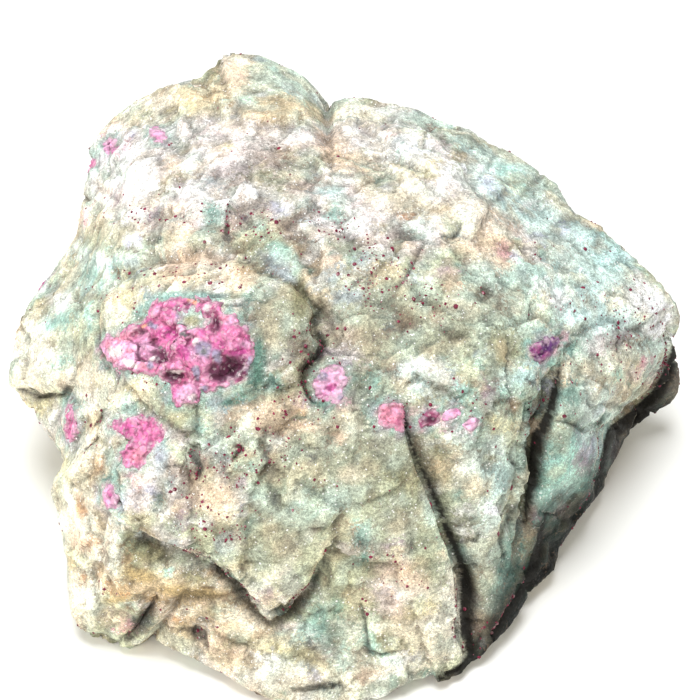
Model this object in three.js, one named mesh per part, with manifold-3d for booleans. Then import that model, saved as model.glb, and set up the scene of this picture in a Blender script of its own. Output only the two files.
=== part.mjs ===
// A hand-sized lump of ruby in fuchsite, broken on every side, lying on its flattest break.
// Millimetres, +Z up. The origin is on the table, under the middle of the lump.
// +X runs along its longest side and -Y is the side that the photograph was taken from.

import * as THREE from "three";
import { ConvexGeometry } from "three/addons/geometries/ConvexGeometry.js";
import { mergeVertices } from "three/addons/utils/BufferGeometryUtils.js";
import Module from "manifold-3d";

const wasm = await Module();
wasm.setup();

// Driving dimensions
const ROCK_LENGTH = 125; // across the photograph, left tip to right tip
const EYE_DISTANCE = 400; // from the lens to the middle of the lump
const EYE_ELEVATION = 45; // degrees above the table
const AIM_HEIGHT = 32; // height of the point that the lens looks at
const SOCKET_GAP = 0.3; // clearance between a ruby and the rock that holds it
const HEART = [-3, -8, 26]; // the inner point that the whole surface can be seen from
const EDGE_FADE = 0.4; // how much of its depth a plate edge keeps at its two ends
const TABLET_SIDES = 6; // ruby is hexagonal
const WELD_DISTANCE = 0.001; // corners closer than this are one corner
const EDGE_CLEARANCE = 0.5; // how far the cut for a plate edge ends above the surface

// The photograph's frame, in pixels
const PICTURE_MIDDLE = 350;
const ROCK_LENGTH_PIXELS = 669;
const MM_PER_PIXEL = ROCK_LENGTH / ROCK_LENGTH_PIXELS;

// Corners of the breaks that the photograph shows: pixel across, pixel down, height above the table in mm
const SKYLINE = [
  [88, 151, 45], [96, 136, 47], [109, 122, 49], [130, 104, 51], [150, 94, 52], [163, 86, 53],
  [199, 77, 54], [215, 66, 56], [222, 56, 57.5], [232, 52, 58], [264, 56, 57], [301, 74, 54],
  [317, 86, 52], [329, 101, 50], [345, 97, 54], [367, 97, 54], [385, 103, 54], [419, 110, 53],
  [450, 123, 50], [469, 129, 49.5], [490, 144, 48], [510, 152, 47], [541, 173, 46], [557, 184, 45.5],
  [574, 212, 43], [600, 225, 43], [639, 262, 40], [666, 289, 38], [680, 316, 33],
];
const LEFT_FLANK = [
  [80, 212, 41], [75, 236, 38.5], [52, 272, 34], [28, 304, 31], [16, 333, 29], [8, 375, 25.5], [10, 388, 25],
  [38, 422, 24], [62, 457, 27], [50, 487, 26], [60, 530, 20], [67, 575, 14], [69, 610, 7],
];
const FOOT_LINE = [
  [75, 626, 4], [91, 635, 3], [120, 648, 2], [136, 649, 2.5], [151, 638, 5], [194, 659, 3],
  [247, 689, 3], [262, 697, 2.5], [310, 705, 2], [350, 706, 2], [393, 690, 3], [417, 678, 3],
  [437, 683, 2], [463, 674, 2.5], [483, 658, 3], [504, 632, 4], [518, 617, 4], [526, 602, 4],
  [553, 574, 4], [557, 564, 4.5], [562, 547, 5], [598, 498, 5], [605, 488, 5], [613, 466, 5],
  [628, 437, 6], [646, 420, 6], [676, 402, 8], [681, 378, 14], [675, 354, 22],
];
const TOP = [
  [150, 140, 57], [240, 108, 61], [300, 130, 61], [200, 170, 62], [130, 190, 57], [100, 240, 49],
  [330, 170, 62], [390, 135, 58], [450, 152, 57], [468, 186, 57], [500, 226, 56], [535, 266, 53],
  [430, 190, 61], [350, 230, 62], [270, 220, 64], [190, 222, 61], [500, 175, 50], [545, 225, 48],
  [600, 265, 45], [440, 280, 60], [380, 280, 60], [570, 320, 48], [620, 300, 44], [650, 318, 38],
  [510, 320, 55], [450, 335, 56.5],
];
const LEFT_EAR = [
  [75, 290, 40], [55, 335, 38], [80, 350, 40], [40, 372, 34], [70, 385, 36], [60, 402, 31], [95, 420, 38],
  [85, 470, 34],
];
const RUBY_BOSS = [
  [122, 276, 55], [180, 258, 60], [250, 262, 61.5], [298, 288, 60], [104, 300, 51], [102, 345, 48.5],
  [150, 300, 59], [240, 300, 61], [200, 340, 59], [270, 340, 58], [312, 330, 57], [301, 370, 53.5],
  [150, 370, 53], [230, 385, 52.5], [112, 385, 46], [270, 400, 50.5],
];
const MIDDLE = [
  [345, 330, 57], [345, 370, 53.5], [400, 355, 54.5], [372, 405, 49.5], [430, 392, 50.5], [490, 380, 52],
];
const FRONT_SLAB = [
  [320, 425, 47.5], [404, 430, 47], [380, 470, 41.5], [425, 480, 39], [340, 500, 38], [443, 525, 31],
  [410, 540, 30], [350, 560, 26.5], [458, 575, 21.5], [415, 600, 19], [461, 620, 13], [364, 615, 16],
  [464, 653, 6.5], [368, 655, 9], [325, 645, 10],
];
const PROW = [
  [160, 450, 43.5], [230, 450, 45.5], [112, 480, 37.5], [200, 505, 38.5], [270, 505, 37.5], [128, 529, 33.5],
  [205, 563, 28.5], [272, 570, 27.5], [240, 588, 24], [270, 618, 18.5], [318, 582, 23.5], [104, 602, 14],
  [150, 595, 19], [200, 620, 13], [240, 650, 9], [285, 660, 8],
];
const SECOND_SLAB = [
  [480, 425, 47], [548, 395, 45], [470, 470, 39.5], [535, 440, 38.5], [527, 476, 32.5], [480, 530, 28.5],
  [522, 520, 24.5], [480, 590, 17], [513, 568, 15.5], [486, 630, 8],
];
const THIRD_SLAB = [
  [572, 380, 43.5], [602, 392, 38], [570, 430, 36.5], [602, 425, 31.5], [560, 470, 28.5], [590, 460, 25],
  [553, 502, 21], [578, 500, 16.5], [543, 540, 12], [535, 575, 7],
];
const RIGHT_END = [
  [610, 370, 38], [663, 345, 29.5], [640, 380, 27], [612, 430, 23], [660, 385, 17], [600, 470, 15.5],
];

// Corners that the photograph doesn't show: across, away from the lens and height, all in mm
const BACK = [
  [-48, 36, 30], [-34, 47, 34], [-20, 52, 36], [-6, 48, 34], [8, 46, 36], [22, 42, 30], [36, 34, 28],
  [48, 25, 24], [56, 16, 20], [-44, 38, 14], [-24, 47, 12], [0, 46, 14], [20, 40, 10], [38, 30, 10],
  [-53, 20, 22], [-58, 4, 14], [-52, -14, 12], [-52, -32, 10],
];
const RESTING_FACE = [
  [-46, -38, 0], [-30, -43, 0], [-12, -49, 0], [6, -52, 0], [16, -46, 0], [26, -34, 0], [34, -18, 0],
  [42, -4, 0], [50, 12, 0], [34, 24, 0], [16, 32, 0], [-6, 37, 0], [-28, 36, 0], [-42, 24, 0],
  [-48, 4, 0], [-47, -18, 0], [-15, -10, 0], [15, 0, 0], [-14, 14, 0],
];

// The lump split into plates that overlap like slates. Each plate ends in a steep edge along its line of
// pixels, depth mm high, and the next plate rises from the foot of that edge back to the surface within
// run mm. The next plate is on the left hand of someone who walks along the line.
const PLATE_EDGES = [
  { depth: 2.4, run: 8, line: [[298, 288], [314, 322], [309, 366], [311, 402]] },
  { depth: 2.6, run: 9, line: [[404, 430], [425, 480], [443, 525], [458, 575], [461, 620], [465, 664]] },
  { depth: 3.6, run: 10, line: [[557, 378], [545, 402], [535, 440], [527, 476], [522, 520], [513, 575]] },
  { depth: 3.5, run: 9, line: [[668, 352], [642, 384], [613, 420], [606, 450], [600, 476]] },
  {
    depth: 3,
    run: 8,
    line: [
      [322, 556], [317, 582], [298, 602], [270, 621], [252, 606], [238, 586], [205, 564], [160, 547],
      [126, 528],
    ],
  },
];

// Ruby grows as six-sided tablets. Each entry is one mass of intergrown tablets that the break cut through:
// the pixel where each tablet shows, its width and depth in mm, how much longer than wide it is, and its
// turn in degrees. A mass on the hidden side is placed by facing, its compass bearing and its elevation.
const RUBIES = {
  ruby_main_mass: [
    { at: [212, 343], width: 14, depth: 8, stretch: 1.1, turn: 12 },
    { at: [181, 327], width: 11, depth: 7, stretch: 1, turn: 45 },
    { at: [146, 348], width: 9.5, depth: 6, stretch: 1.1, turn: 75 },
    { at: [118, 350], width: 5.5, depth: 4, stretch: 1.1, turn: 60 },
    { at: [187, 384], width: 7, depth: 5, stretch: 1, turn: 30 },
  ],
  ruby_lower_left: [
    { at: [141, 431], width: 6.5, depth: 5, stretch: 1.35, turn: 80 },
    { at: [134, 450], width: 4.5, depth: 4, stretch: 1.3, turn: 20 },
  ],
  ruby_left_edge: [{ at: [71, 424], width: 2.4, depth: 3, stretch: 2.8, turn: 8 }],
  ruby_tail: [{ at: [109, 496], width: 3, depth: 3, stretch: 1.5, turn: 15 }],
  ruby_crack_side: [{ at: [331, 384], width: 6, depth: 4, stretch: 1.15, turn: 10 }],
  ruby_slab_corner: [{ at: [390, 416], width: 4.8, depth: 4, stretch: 1.15, turn: 30 }],
  ruby_plum_tablet: [{ at: [430, 418], width: 2.8, depth: 3, stretch: 1.5, turn: -55 }],
  ruby_pink_pair: [{ at: [451, 411], width: 2.6, depth: 2.5, stretch: 1.4, turn: 75 }],
  ruby_pink_end: [{ at: [472, 423], width: 2.6, depth: 2.5, stretch: 1.2, turn: 20 }],
  ruby_dark_tablet: [{ at: [548, 348], width: 4.2, depth: 3.5, stretch: 1.8, turn: -60 }],
  ruby_rear_rim_left: [{ at: [113, 147], width: 2.6, depth: 2.5, stretch: 1.2, turn: 10 }],
  ruby_rear_rim_right: [{ at: [158, 134], width: 2.6, depth: 2.5, stretch: 1.3, turn: 40 }],
  ruby_left_rim: [{ at: [92, 178], width: 2.4, depth: 2.5, stretch: 1.6, turn: 0 }],
  ruby_rear_mass: [
    { facing: [112, 14], width: 13, depth: 7, stretch: 1.1, turn: 20 },
    { facing: [103, 15], width: 10, depth: 7, stretch: 1.2, turn: 70 },
  ],
  ruby_rear_middle: [{ facing: [76, 8], width: 5, depth: 4, stretch: 1.2, turn: 35 }],
  ruby_rear_right: [{ facing: [40, 10], width: 7, depth: 5, stretch: 1.3, turn: 60 }],
  ruby_left_flank: [{ facing: [152, 2], width: 6, depth: 4, stretch: 1.4, turn: 15 }],
};

const elevation = THREE.MathUtils.degToRad(EYE_ELEVATION);
const right = new THREE.Vector3(1, 0, 0);
const up = new THREE.Vector3(0, Math.sin(elevation), Math.cos(elevation));
const towardEye = new THREE.Vector3(0, -Math.cos(elevation), Math.sin(elevation));
const aim = new THREE.Vector3(0, 0, AIM_HEIGHT);
const eye = aim.clone().addScaledVector(towardEye, EYE_DISTANCE);

// The point that a pixel shows on the plane through the aim point, square to the line of sight.
function onPicturePlane(pixelAcross, pixelDown) {
  return aim
    .clone()
    .addScaledVector(right, (pixelAcross - PICTURE_MIDDLE) * MM_PER_PIXEL)
    .addScaledVector(up, (PICTURE_MIDDLE - pixelDown) * MM_PER_PIXEL);
}

// The point on a pixel's line of sight that is this high above the table.
function atHeight([pixelAcross, pixelDown, height]) {
  const onPlane = onPicturePlane(pixelAcross, pixelDown);
  const share = (eye.z - height) / (eye.z - onPlane.z);
  return eye.clone().lerp(onPlane, share);
}

// A closed skin through all the corners: each is joined to its neighbours as seen from inside the lump.
function brokenLump(corners, heart) {
  const directions = corners.map((corner) => corner.clone().sub(heart).normalize());
  const skin = new ConvexGeometry(directions);
  const position = skin.getAttribute("position");
  const direction = new THREE.Vector3();
  for (let i = 0; i < position.count; i++) {
    direction.fromBufferAttribute(position, i);
    const nearness = directions.map((other) => other.dot(direction));
    const corner = corners[nearness.indexOf(Math.max(...nearness))];
    position.setXYZ(i, corner.x, corner.y, corner.z);
  }
  return skin;
}

function solidOf(geometry) {
  const bare = geometry.clone();
  bare.deleteAttribute("normal");
  bare.deleteAttribute("uv");
  const merged = mergeVertices(bare, WELD_DISTANCE);
  return new wasm.Manifold(
    new wasm.Mesh({
      numProp: 3,
      vertProperties: merged.getAttribute("position").array,
      triVerts: new Uint32Array(merged.index.array),
    }),
  );
}

// A cut can leave flakes beside the lump, thinner than paper, which drop away.
function withoutFlakes(solid) {
  return solid.decompose().reduce((most, next) => (next.volume() > most.volume() ? next : most));
}

function geometryOf(solid) {
  const { vertProperties, triVerts } = solid.getMesh();
  return new THREE.BufferGeometry()
    .setAttribute("position", new THREE.BufferAttribute(vertProperties, 3))
    .setIndex(new THREE.BufferAttribute(triVerts, 1));
}

// Where a line of sight meets the lump, and the way that the break faces there. Sight is along a pixel of
// the photograph, or for a hidden place from outside, at its bearing and elevation in degrees, towards the
// heart.
function onBreak({ at, facing }) {
  let from = eye;
  let toward;
  if (at) {
    toward = onPicturePlane(...at).sub(eye).normalize();
  } else {
    const [bearing, rise] = facing.map(THREE.MathUtils.degToRad);
    toward = new THREE.Vector3(Math.cos(bearing), Math.sin(bearing), Math.tan(rise)).normalize().negate();
    from = heart.clone().addScaledVector(toward, -EYE_DISTANCE);
  }
  const [hit] = new THREE.Raycaster(from, toward).intersectObject(lump);
  return { point: hit.point, normal: hit.face.normal };
}

// The triangle that a plate edge cuts out of the lump at one place: down the steep edge, up along the next
// plate and back above the surface.
function edgeSection({ point, normal }, along, { depth, run }) {
  const across = normal.clone().cross(along).normalize();
  const foot = point.clone().addScaledVector(normal, -depth);
  const above = point.clone().addScaledVector(normal, depth);
  const end = point.clone().addScaledVector(across, run).addScaledVector(normal, EDGE_CLEARANCE);
  return [foot, above, end];
}

// Cuts one plate edge, a wedge between each two places along its line.
function cutPlateEdge(solid, edge) {
  const places = edge.line.map((pixel) => onBreak({ at: pixel }));
  const last = places.length - 1;
  const sections = places.map((place, i) => {
    const along = places[Math.min(i + 1, last)].point.clone().sub(places[Math.max(i - 1, 0)].point);
    const fade = i === 0 || i === last ? EDGE_FADE : 1;
    return edgeSection(place, along, { depth: edge.depth * fade, run: edge.run });
  });
  return sections.slice(1).reduce((rest, section, i) => {
    return rest.subtract(solidOf(new ConvexGeometry([...sections[i], ...section])));
  }, solid);
}

// One six-sided tablet, its axis square to the break, with half its depth under the break and half over it.
function tablet(entry, gap) {
  const { width, depth, stretch, turn } = entry;
  const { point, normal } = onBreak(entry);
  const radius = width / 2 + gap;
  const shape = new THREE.CylinderGeometry(radius, radius, 2 * (depth + gap), TABLET_SIDES);
  shape.rotateX(Math.PI / 2);
  shape.scale(1, (width * stretch + 2 * gap) / (width + 2 * gap), 1);
  shape.rotateZ(THREE.MathUtils.degToRad(turn));
  shape.lookAt(normal);
  shape.translate(point.x, point.y, point.z);
  return solidOf(shape);
}

function intergrown(tablets, gap) {
  return tablets.map((entry) => tablet(entry, gap)).reduce((mass, next) => mass.add(next));
}

const seen = [
  ...SKYLINE, ...LEFT_FLANK, ...FOOT_LINE, ...TOP, ...LEFT_EAR, ...RUBY_BOSS, ...MIDDLE, ...FRONT_SLAB,
  ...PROW, ...SECOND_SLAB, ...THIRD_SLAB, ...RIGHT_END,
];
const hidden = [...BACK, ...RESTING_FACE];
const corners = [...seen.map(atHeight), ...hidden.map((corner) => new THREE.Vector3(...corner))];
const heart = new THREE.Vector3(...HEART);
const lumpGeometry = brokenLump(corners, heart);
const lump = new THREE.Mesh(lumpGeometry, new THREE.MeshStandardMaterial({ side: THREE.DoubleSide }));
const wholeLump = withoutFlakes(PLATE_EDGES.reduce(cutPlateEdge, solidOf(lumpGeometry)));

const fuchsite = new THREE.MeshStandardMaterial({ color: 0xaeb79a, roughness: 0.8, metalness: 0 });
const ruby = new THREE.MeshStandardMaterial({ color: 0xb8396f, roughness: 0.35, metalness: 0 });

const specimen = new THREE.Group();
let matrix = wholeLump;
for (const [name, tablets] of Object.entries(RUBIES)) {
  const mass = intergrown(tablets, 0).intersect(wholeLump);
  matrix = matrix.subtract(intergrown(tablets, SOCKET_GAP));
  const mesh = new THREE.Mesh(geometryOf(mass), ruby);
  mesh.name = name;
  specimen.add(mesh);
}
const rock = new THREE.Mesh(geometryOf(withoutFlakes(matrix)), fuchsite);
rock.name = "fuchsite_rock";
specimen.add(rock);

// The origin goes under the middle of the lump's box.
const box = new THREE.Box3().setFromPoints(corners);
const middle = box.getCenter(new THREE.Vector3());
specimen.position.set(-middle.x, -middle.y, 0);

export default specimen;
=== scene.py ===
# A hand-sized broken lump of ruby in fuchsite: green chrome mica rock with pink corundum crystals.
# Metres, +Z up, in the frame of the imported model.
import math

import bmesh
import bpy
import numpy as np
from mathutils import Matrix, Vector


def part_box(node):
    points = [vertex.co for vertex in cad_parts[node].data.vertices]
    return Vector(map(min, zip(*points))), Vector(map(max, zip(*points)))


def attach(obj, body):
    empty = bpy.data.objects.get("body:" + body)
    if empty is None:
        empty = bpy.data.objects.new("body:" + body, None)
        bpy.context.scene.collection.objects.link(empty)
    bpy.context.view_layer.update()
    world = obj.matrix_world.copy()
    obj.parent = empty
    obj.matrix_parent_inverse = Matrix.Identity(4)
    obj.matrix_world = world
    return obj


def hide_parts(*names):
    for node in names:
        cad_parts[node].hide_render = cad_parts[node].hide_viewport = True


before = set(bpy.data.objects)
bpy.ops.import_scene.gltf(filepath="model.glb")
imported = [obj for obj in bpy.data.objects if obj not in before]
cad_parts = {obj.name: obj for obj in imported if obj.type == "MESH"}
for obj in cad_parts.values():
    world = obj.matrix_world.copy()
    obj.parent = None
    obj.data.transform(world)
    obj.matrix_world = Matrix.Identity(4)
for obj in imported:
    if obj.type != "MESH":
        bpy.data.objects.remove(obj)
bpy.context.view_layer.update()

millimetre = 0.001


# The photograph's view: looking down at 45 degrees from 40 cm away

picture = {
    "size": 700,  # pixels on each side
    "middle": 350,  # of those pixels, across and down
    "rockPixels": 669,  # from the left tip to the right tip
    "rockLength": 0.125,
    "aim": (-0.00016, 0.00106, 0.032),
    "eyeDistance": 0.4,
    "eyeElevation": 45,
    "sensorWidth": 36,
}
pixel = picture["rockLength"] / picture["rockPixels"]
elevation = math.radians(picture["eyeElevation"])
rightward = np.array([1.0, 0.0, 0.0])
upward = np.array([0.0, math.sin(elevation), math.cos(elevation)])
towardEye = np.array([0.0, -math.cos(elevation), math.sin(elevation)])
eye = np.array(picture["aim"]) + towardEye * picture["eyeDistance"]


def pixelsOf(points):
    offset = points - eye
    scale = picture["eyeDistance"] / -(offset @ towardEye) / pixel
    across = picture["middle"] + offset @ rightward * scale
    down = picture["middle"] - offset @ upward * scale
    return across, down


def facingEye(points, normals):
    view = eye - points
    return np.sum(normals * view, axis=1) / np.linalg.norm(view, axis=1)


# Noise on whole arrays of points

def smoothstep(low, high, value):
    share = np.clip((value - low) / (high - low), 0, 1)
    return share * share * (3 - 2 * share)


def scattered(cells, seed):  # three numbers from -1 to 1 for each lattice cell
    whole = cells.astype(np.int64)
    mixed = whole[:, 0] * 73856093 ^ whole[:, 1] * 19349663 ^ whole[:, 2] * 83492791 ^ seed * 2654435761
    streams = []
    for _ in range(3):
        mixed = (mixed ^ (mixed >> 15)) * 2246822519 & 0xFFFFFFFF
        mixed = mixed ^ (mixed >> 13)
        streams.append((mixed & 0xFFFF) / 32767.5 - 1)
    return np.stack(streams, axis=1)


def lumpyNoise(points, lump, seed):  # -1 to 1, with swells about as wide as lump
    place = points / lump + seed * 7.31
    corner = np.floor(place)
    part = place - corner
    ease = part ** 3 * (part * (part * 6 - 15) + 10)
    total = np.zeros(len(points))
    for offset in np.ndindex(2, 2, 2):
        weight = np.prod(np.where(offset, ease, 1 - ease), axis=1)
        total += weight * np.sum(scattered(corner + offset, seed) * (part - offset), axis=1)
    return total * 1.4


def layeredNoise(points, lump, layers, seed):
    return sum(lumpyNoise(points, lump / 2 ** layer, seed + layer) / 2 ** layer for layer in range(layers))


def noiseVector(points, lump, seed):
    return np.stack([lumpyNoise(points, lump, seed + 100 + axis) for axis in range(3)], axis=1)


# Breaks space into chips: the way from each chip's middle, its three draws and the distance to its border
def chipsOf(points, size, seed):
    place = points / size
    home = np.floor(place)
    nearest = np.full(len(points), 9.0)
    second = nearest.copy()
    fromMiddle = np.zeros_like(points)
    draws = np.zeros_like(points)
    for offset in np.ndindex(3, 3, 3):
        cell = home + offset - 1
        draw = scattered(cell, seed)
        gap = place - cell - 0.5 - 0.45 * draw
        distance = np.linalg.norm(gap, axis=1)
        closer = distance < nearest
        second = np.where(closer, nearest, np.minimum(second, distance))
        nearest = np.where(closer, distance, nearest)
        fromMiddle[closer] = gap[closer]
        draws[closer] = draw[closer]
    return fromMiddle * size, draws[:, ::-1], (second - nearest) * size


# Tools on a mesh's points

def pointsOf(mesh):
    flat = np.zeros(len(mesh.vertices) * 3)
    mesh.vertices.foreach_get("co", flat)
    return flat.reshape(-1, 3)


def movePoints(mesh, points):  # returns the new normals
    mesh.vertices.foreach_set("co", points.ravel())
    mesh.update()
    flat = np.zeros(len(mesh.vertices) * 3)
    mesh.vertices.foreach_get("normal", flat)
    return flat.reshape(-1, 3)


def edgesOf(mesh):
    flat = np.zeros(len(mesh.edges) * 2, dtype=np.int32)
    mesh.edges.foreach_get("vertices", flat)
    return flat.reshape(-1, 2)


def relaxed(values, edges, rounds):  # each value drawn halfway to its neighbours' mean, rounds times
    count = np.bincount(edges.ravel(), minlength=len(values))[:, None]
    for _ in range(rounds):
        total = np.zeros_like(values)
        for axis in range(values.shape[1]):
            column = values[:, axis]
            total[:, axis] = np.bincount(edges[:, 0], column[edges[:, 1]], len(values))
            total[:, axis] += np.bincount(edges[:, 1], column[edges[:, 0]], len(values))
        values = (values + total / count) / 2
    return values


# Distance in pixels from a line of [across, down, half width] points, the side of it and the half width
# there. The side is positive on the left hand of someone who walks along the line.
def nearLine(across, down, line, reach):
    distance = np.full(len(across), float(reach))
    side = np.zeros(len(across))
    width = np.ones(len(across))
    for (x0, y0, w0), (x1, y1, w1) in zip(line, line[1:]):
        close = (across > min(x0, x1) - reach) & (across < max(x0, x1) + reach)
        close = np.flatnonzero(close & (down > min(y0, y1) - reach) & (down < max(y0, y1) + reach))
        length = math.hypot(x1 - x0, y1 - y0)
        wayX, wayY = (x1 - x0) / length, (y1 - y0) / length
        fromX, fromY = across[close] - x0, down[close] - y0
        along = np.clip(fromX * wayX + fromY * wayY, 0, length)
        gapX, gapY = fromX - along * wayX, fromY - along * wayY
        gap = np.hypot(gapX, gapY)
        closer = gap < distance[close]
        spot = close[closer]
        distance[spot] = gap[closer]
        side[spot] = np.sign(gapX * wayY - gapY * wayX)[closer]
        width[spot] = (w0 + (w1 - w0) * along / length)[closer]
    return distance, side, width


def insideOutline(across, down, outline):  # pixels inside it, negative outside
    closed = [(x, y, 1) for x, y in outline + outline[:1]]
    distance = nearLine(across, down, closed, 1000)[0]
    inside = np.zeros(len(across), dtype=bool)
    for (x0, y0, _), (x1, y1, _) in zip(closed, closed[1:]):
        crosses = (y0 > down) != (y1 > down)
        with np.errstate(divide="ignore", invalid="ignore"):
            inside ^= crosses & (across < x0 + (down - y0) / (y1 - y0) * (x1 - x0))
    return np.where(inside, distance, -distance)


def spread(across, down, place):  # 0 in the middle of an ellipse, 1 on its edge. A turn is in degrees
    x, y, halfWidth, halfHeight, turn = (*place, 0)[:5]
    angle = math.radians(turn)
    along = (across - x) * math.cos(angle) + (down - y) * math.sin(angle)
    beside = (down - y) * math.cos(angle) - (across - x) * math.sin(angle)
    return np.hypot(along / halfWidth, beside / halfHeight)


def bulges(across, down, places):  # soft swells and dents, each with its height in mm after its ellipse
    height = np.zeros(len(across))
    for *place, rise in places:
        height += np.exp(-1.4 * spread(across, down, place) ** 2) * rise
    return height


def wandered(points, across, down, bends):  # a bend is pixels, its size in mm, a seed across and one down
    for pixels, size, acrossSeed, downSeed in bends:
        across = across + pixels * lumpyNoise(points, size * millimetre, acrossSeed)
        down = down + pixels * lumpyNoise(points, size * millimetre, downSeed)
    return across, down


# Tools on objects

def addObject(name, content):
    added = bpy.data.objects.new(name, content)
    bpy.context.scene.collection.objects.link(added)
    return added


def placed(mesh, slot, *nodes):
    piece = addObject(mesh.name, mesh)
    mesh.shade_smooth()
    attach(piece, "root")
    if nodes:
        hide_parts(*nodes)


# The lump: one skin over the rock and the crystals set in it

outline = [  # where the photograph's cut-out ends, and below its bottom edge a guess
    (88, 151), (96, 136), (109, 122), (130, 104), (150, 94), (163, 86), (199, 78), (206, 71), (215, 66),
    (222, 56), (232, 52), (248, 54), (264, 56), (282, 64), (301, 74), (317, 88), (326, 100), (331, 102),
    (345, 98), (367, 98), (385, 103), (419, 110), (437, 120), (450, 124), (469, 129), (490, 144),
    (510, 152), (541, 173), (557, 184), (567, 202), (574, 212), (600, 225), (612, 238), (639, 262),
    (653, 274), (666, 289), (676, 303), (680, 316), (679, 328), (675, 335), (673, 342), (676, 352),
    (679, 368), (680, 380), (678, 393), (672, 403), (660, 410), (645, 420), (632, 430), (625, 440),
    (618, 456), (610, 468), (606, 478), (604, 488), (592, 503), (578, 520), (570, 532), (560, 547),
    (557, 560), (554, 570), (532, 590), (525, 602), (515, 620), (503, 634), (490, 646), (482, 656),
    (471, 663), (462, 673), (448, 680), (437, 683), (434, 676), (415, 680), (395, 690), (385, 697),
    (352, 706), (310, 706), (262, 697), (247, 689), (222, 673), (194, 659), (166, 646), (151, 638),
    (146, 641), (136, 648), (120, 648), (103, 640), (91, 635), (79, 628), (71, 615), (68, 595), (66, 560),
    (61, 535), (57, 510), (51, 496), (51, 484), (57, 471), (63, 462), (60, 452), (36, 417), (18, 395),
    (9, 385), (9, 372), (13, 350), (16, 332), (22, 316), (30, 301), (39, 290), (52, 272), (67, 250),
    (76, 235), (80, 213), (83, 195), (87, 175),
]
lumpShape = {
    "voxel": 0.84 * millimetre,
    "growCrystals": 0.45 * millimetre,  # closes the gap around each crystal
    "softenRounds": 14,
    "outlineMiddle": (345, 375),
    "outlineSteps": 360,
    "outlineReach": 0.55,  # share of the way out from the middle where points start to move
    "refineMargins": (4, 1),  # pixels beside the dark cracks where the mesh is made finer, in turn
    "restHeight": 0.6 * millimetre,  # the face below this that looks down stays flat
    "normalRounds": 16,
    "footHeights": (5 * millimetre, 1.5 * millimetre),  # where the foot's rounding starts, and is full
    "footRounds": 25,
}


def lumpFromFrame():
    bm = bmesh.new()
    for name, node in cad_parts.items():
        part = bmesh.new()
        part.from_mesh(node.data)
        bmesh.ops.remove_doubles(part, verts=part.verts, dist=0.01 * millimetre)
        if name != "fuchsite_rock":
            part.normal_update()
            for vert in part.verts:
                vert.co += vert.normal * lumpShape["growCrystals"]
        mesh = bpy.data.meshes.new(name + "_copy")
        part.to_mesh(mesh)
        part.free()
        bm.from_mesh(mesh)
        bpy.data.meshes.remove(mesh)
    mesh = bpy.data.meshes.new("lump")
    bm.to_mesh(mesh)
    bm.free()
    lump = addObject("lump", mesh)
    remesh = lump.modifiers.new("remesh", "REMESH")
    remesh.mode = "VOXEL"
    remesh.voxel_size = lumpShape["voxel"]
    shown = lump.evaluated_get(bpy.context.evaluated_depsgraph_get())
    skin = bpy.data.meshes.new_from_object(shown)
    bpy.data.objects.remove(lump)
    return skin


def withoutHollows(mesh):  # drops the closed pockets inside the lump
    bm = bmesh.new()
    bm.from_mesh(mesh)
    top = max(bm.verts, key=lambda vert: vert.co.z)
    reached = {top}
    frontier = [top]
    while frontier:
        vert = frontier.pop()
        for link in vert.link_edges:
            other = link.other_vert(vert)
            if other not in reached:
                reached.add(other)
                frontier.append(other)
    inner = [vert for vert in bm.verts if vert not in reached]
    bmesh.ops.delete(bm, geom=inner, context="VERTS")
    bm.to_mesh(mesh)
    bm.free()


# Draws the lump's outline in the photograph's view to the photograph's own
def matchOutline(points):
    middleX, middleY = lumpShape["outlineMiddle"]
    steps = lumpShape["outlineSteps"]
    around = np.array([math.atan2(y - middleY, x - middleX) for x, y in outline])
    radius = np.array([math.hypot(y - middleY, x - middleX) for x, y in outline])
    order = np.argsort(around)
    across, down = pixelsOf(points)
    angle = np.arctan2(down - middleY, across - middleX)
    reach = np.hypot(down - middleY, across - middleX)
    sector = ((angle + math.pi) / math.tau * steps).astype(int) % steps
    rim = np.zeros(steps)
    np.maximum.at(rim, sector, reach)
    sectorAngle = (np.arange(steps) + 0.5) / steps * math.tau - math.pi
    rimHere = np.interp(angle, sectorAngle, rim, period=math.tau)
    wanted = np.interp(angle, around[order], radius[order], period=math.tau)
    share = smoothstep(lumpShape["outlineReach"], 1, reach / rimHere)
    move = share * (wanted / rimHere - 1) * pixel
    depth = -((points - eye) @ towardEye) / picture["eyeDistance"]
    sideways = ((across - middleX) * move * depth)[:, None] * rightward
    upright = ((middleY - down) * move * depth)[:, None] * upward
    return points + sideways + upright


# Relief. Lines are in the photograph's pixels: [across, down, half width of the dark line].
# drop is how many mm the rock on the walker's left lies lower, and reach the pixels until it is back up.
# roll is how far back from the line, in pixels, the upper side starts to bend down, and by how many mm.
# dark is the share of light lost in it: painted shade along the line, reaching further on its lower side.

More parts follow.
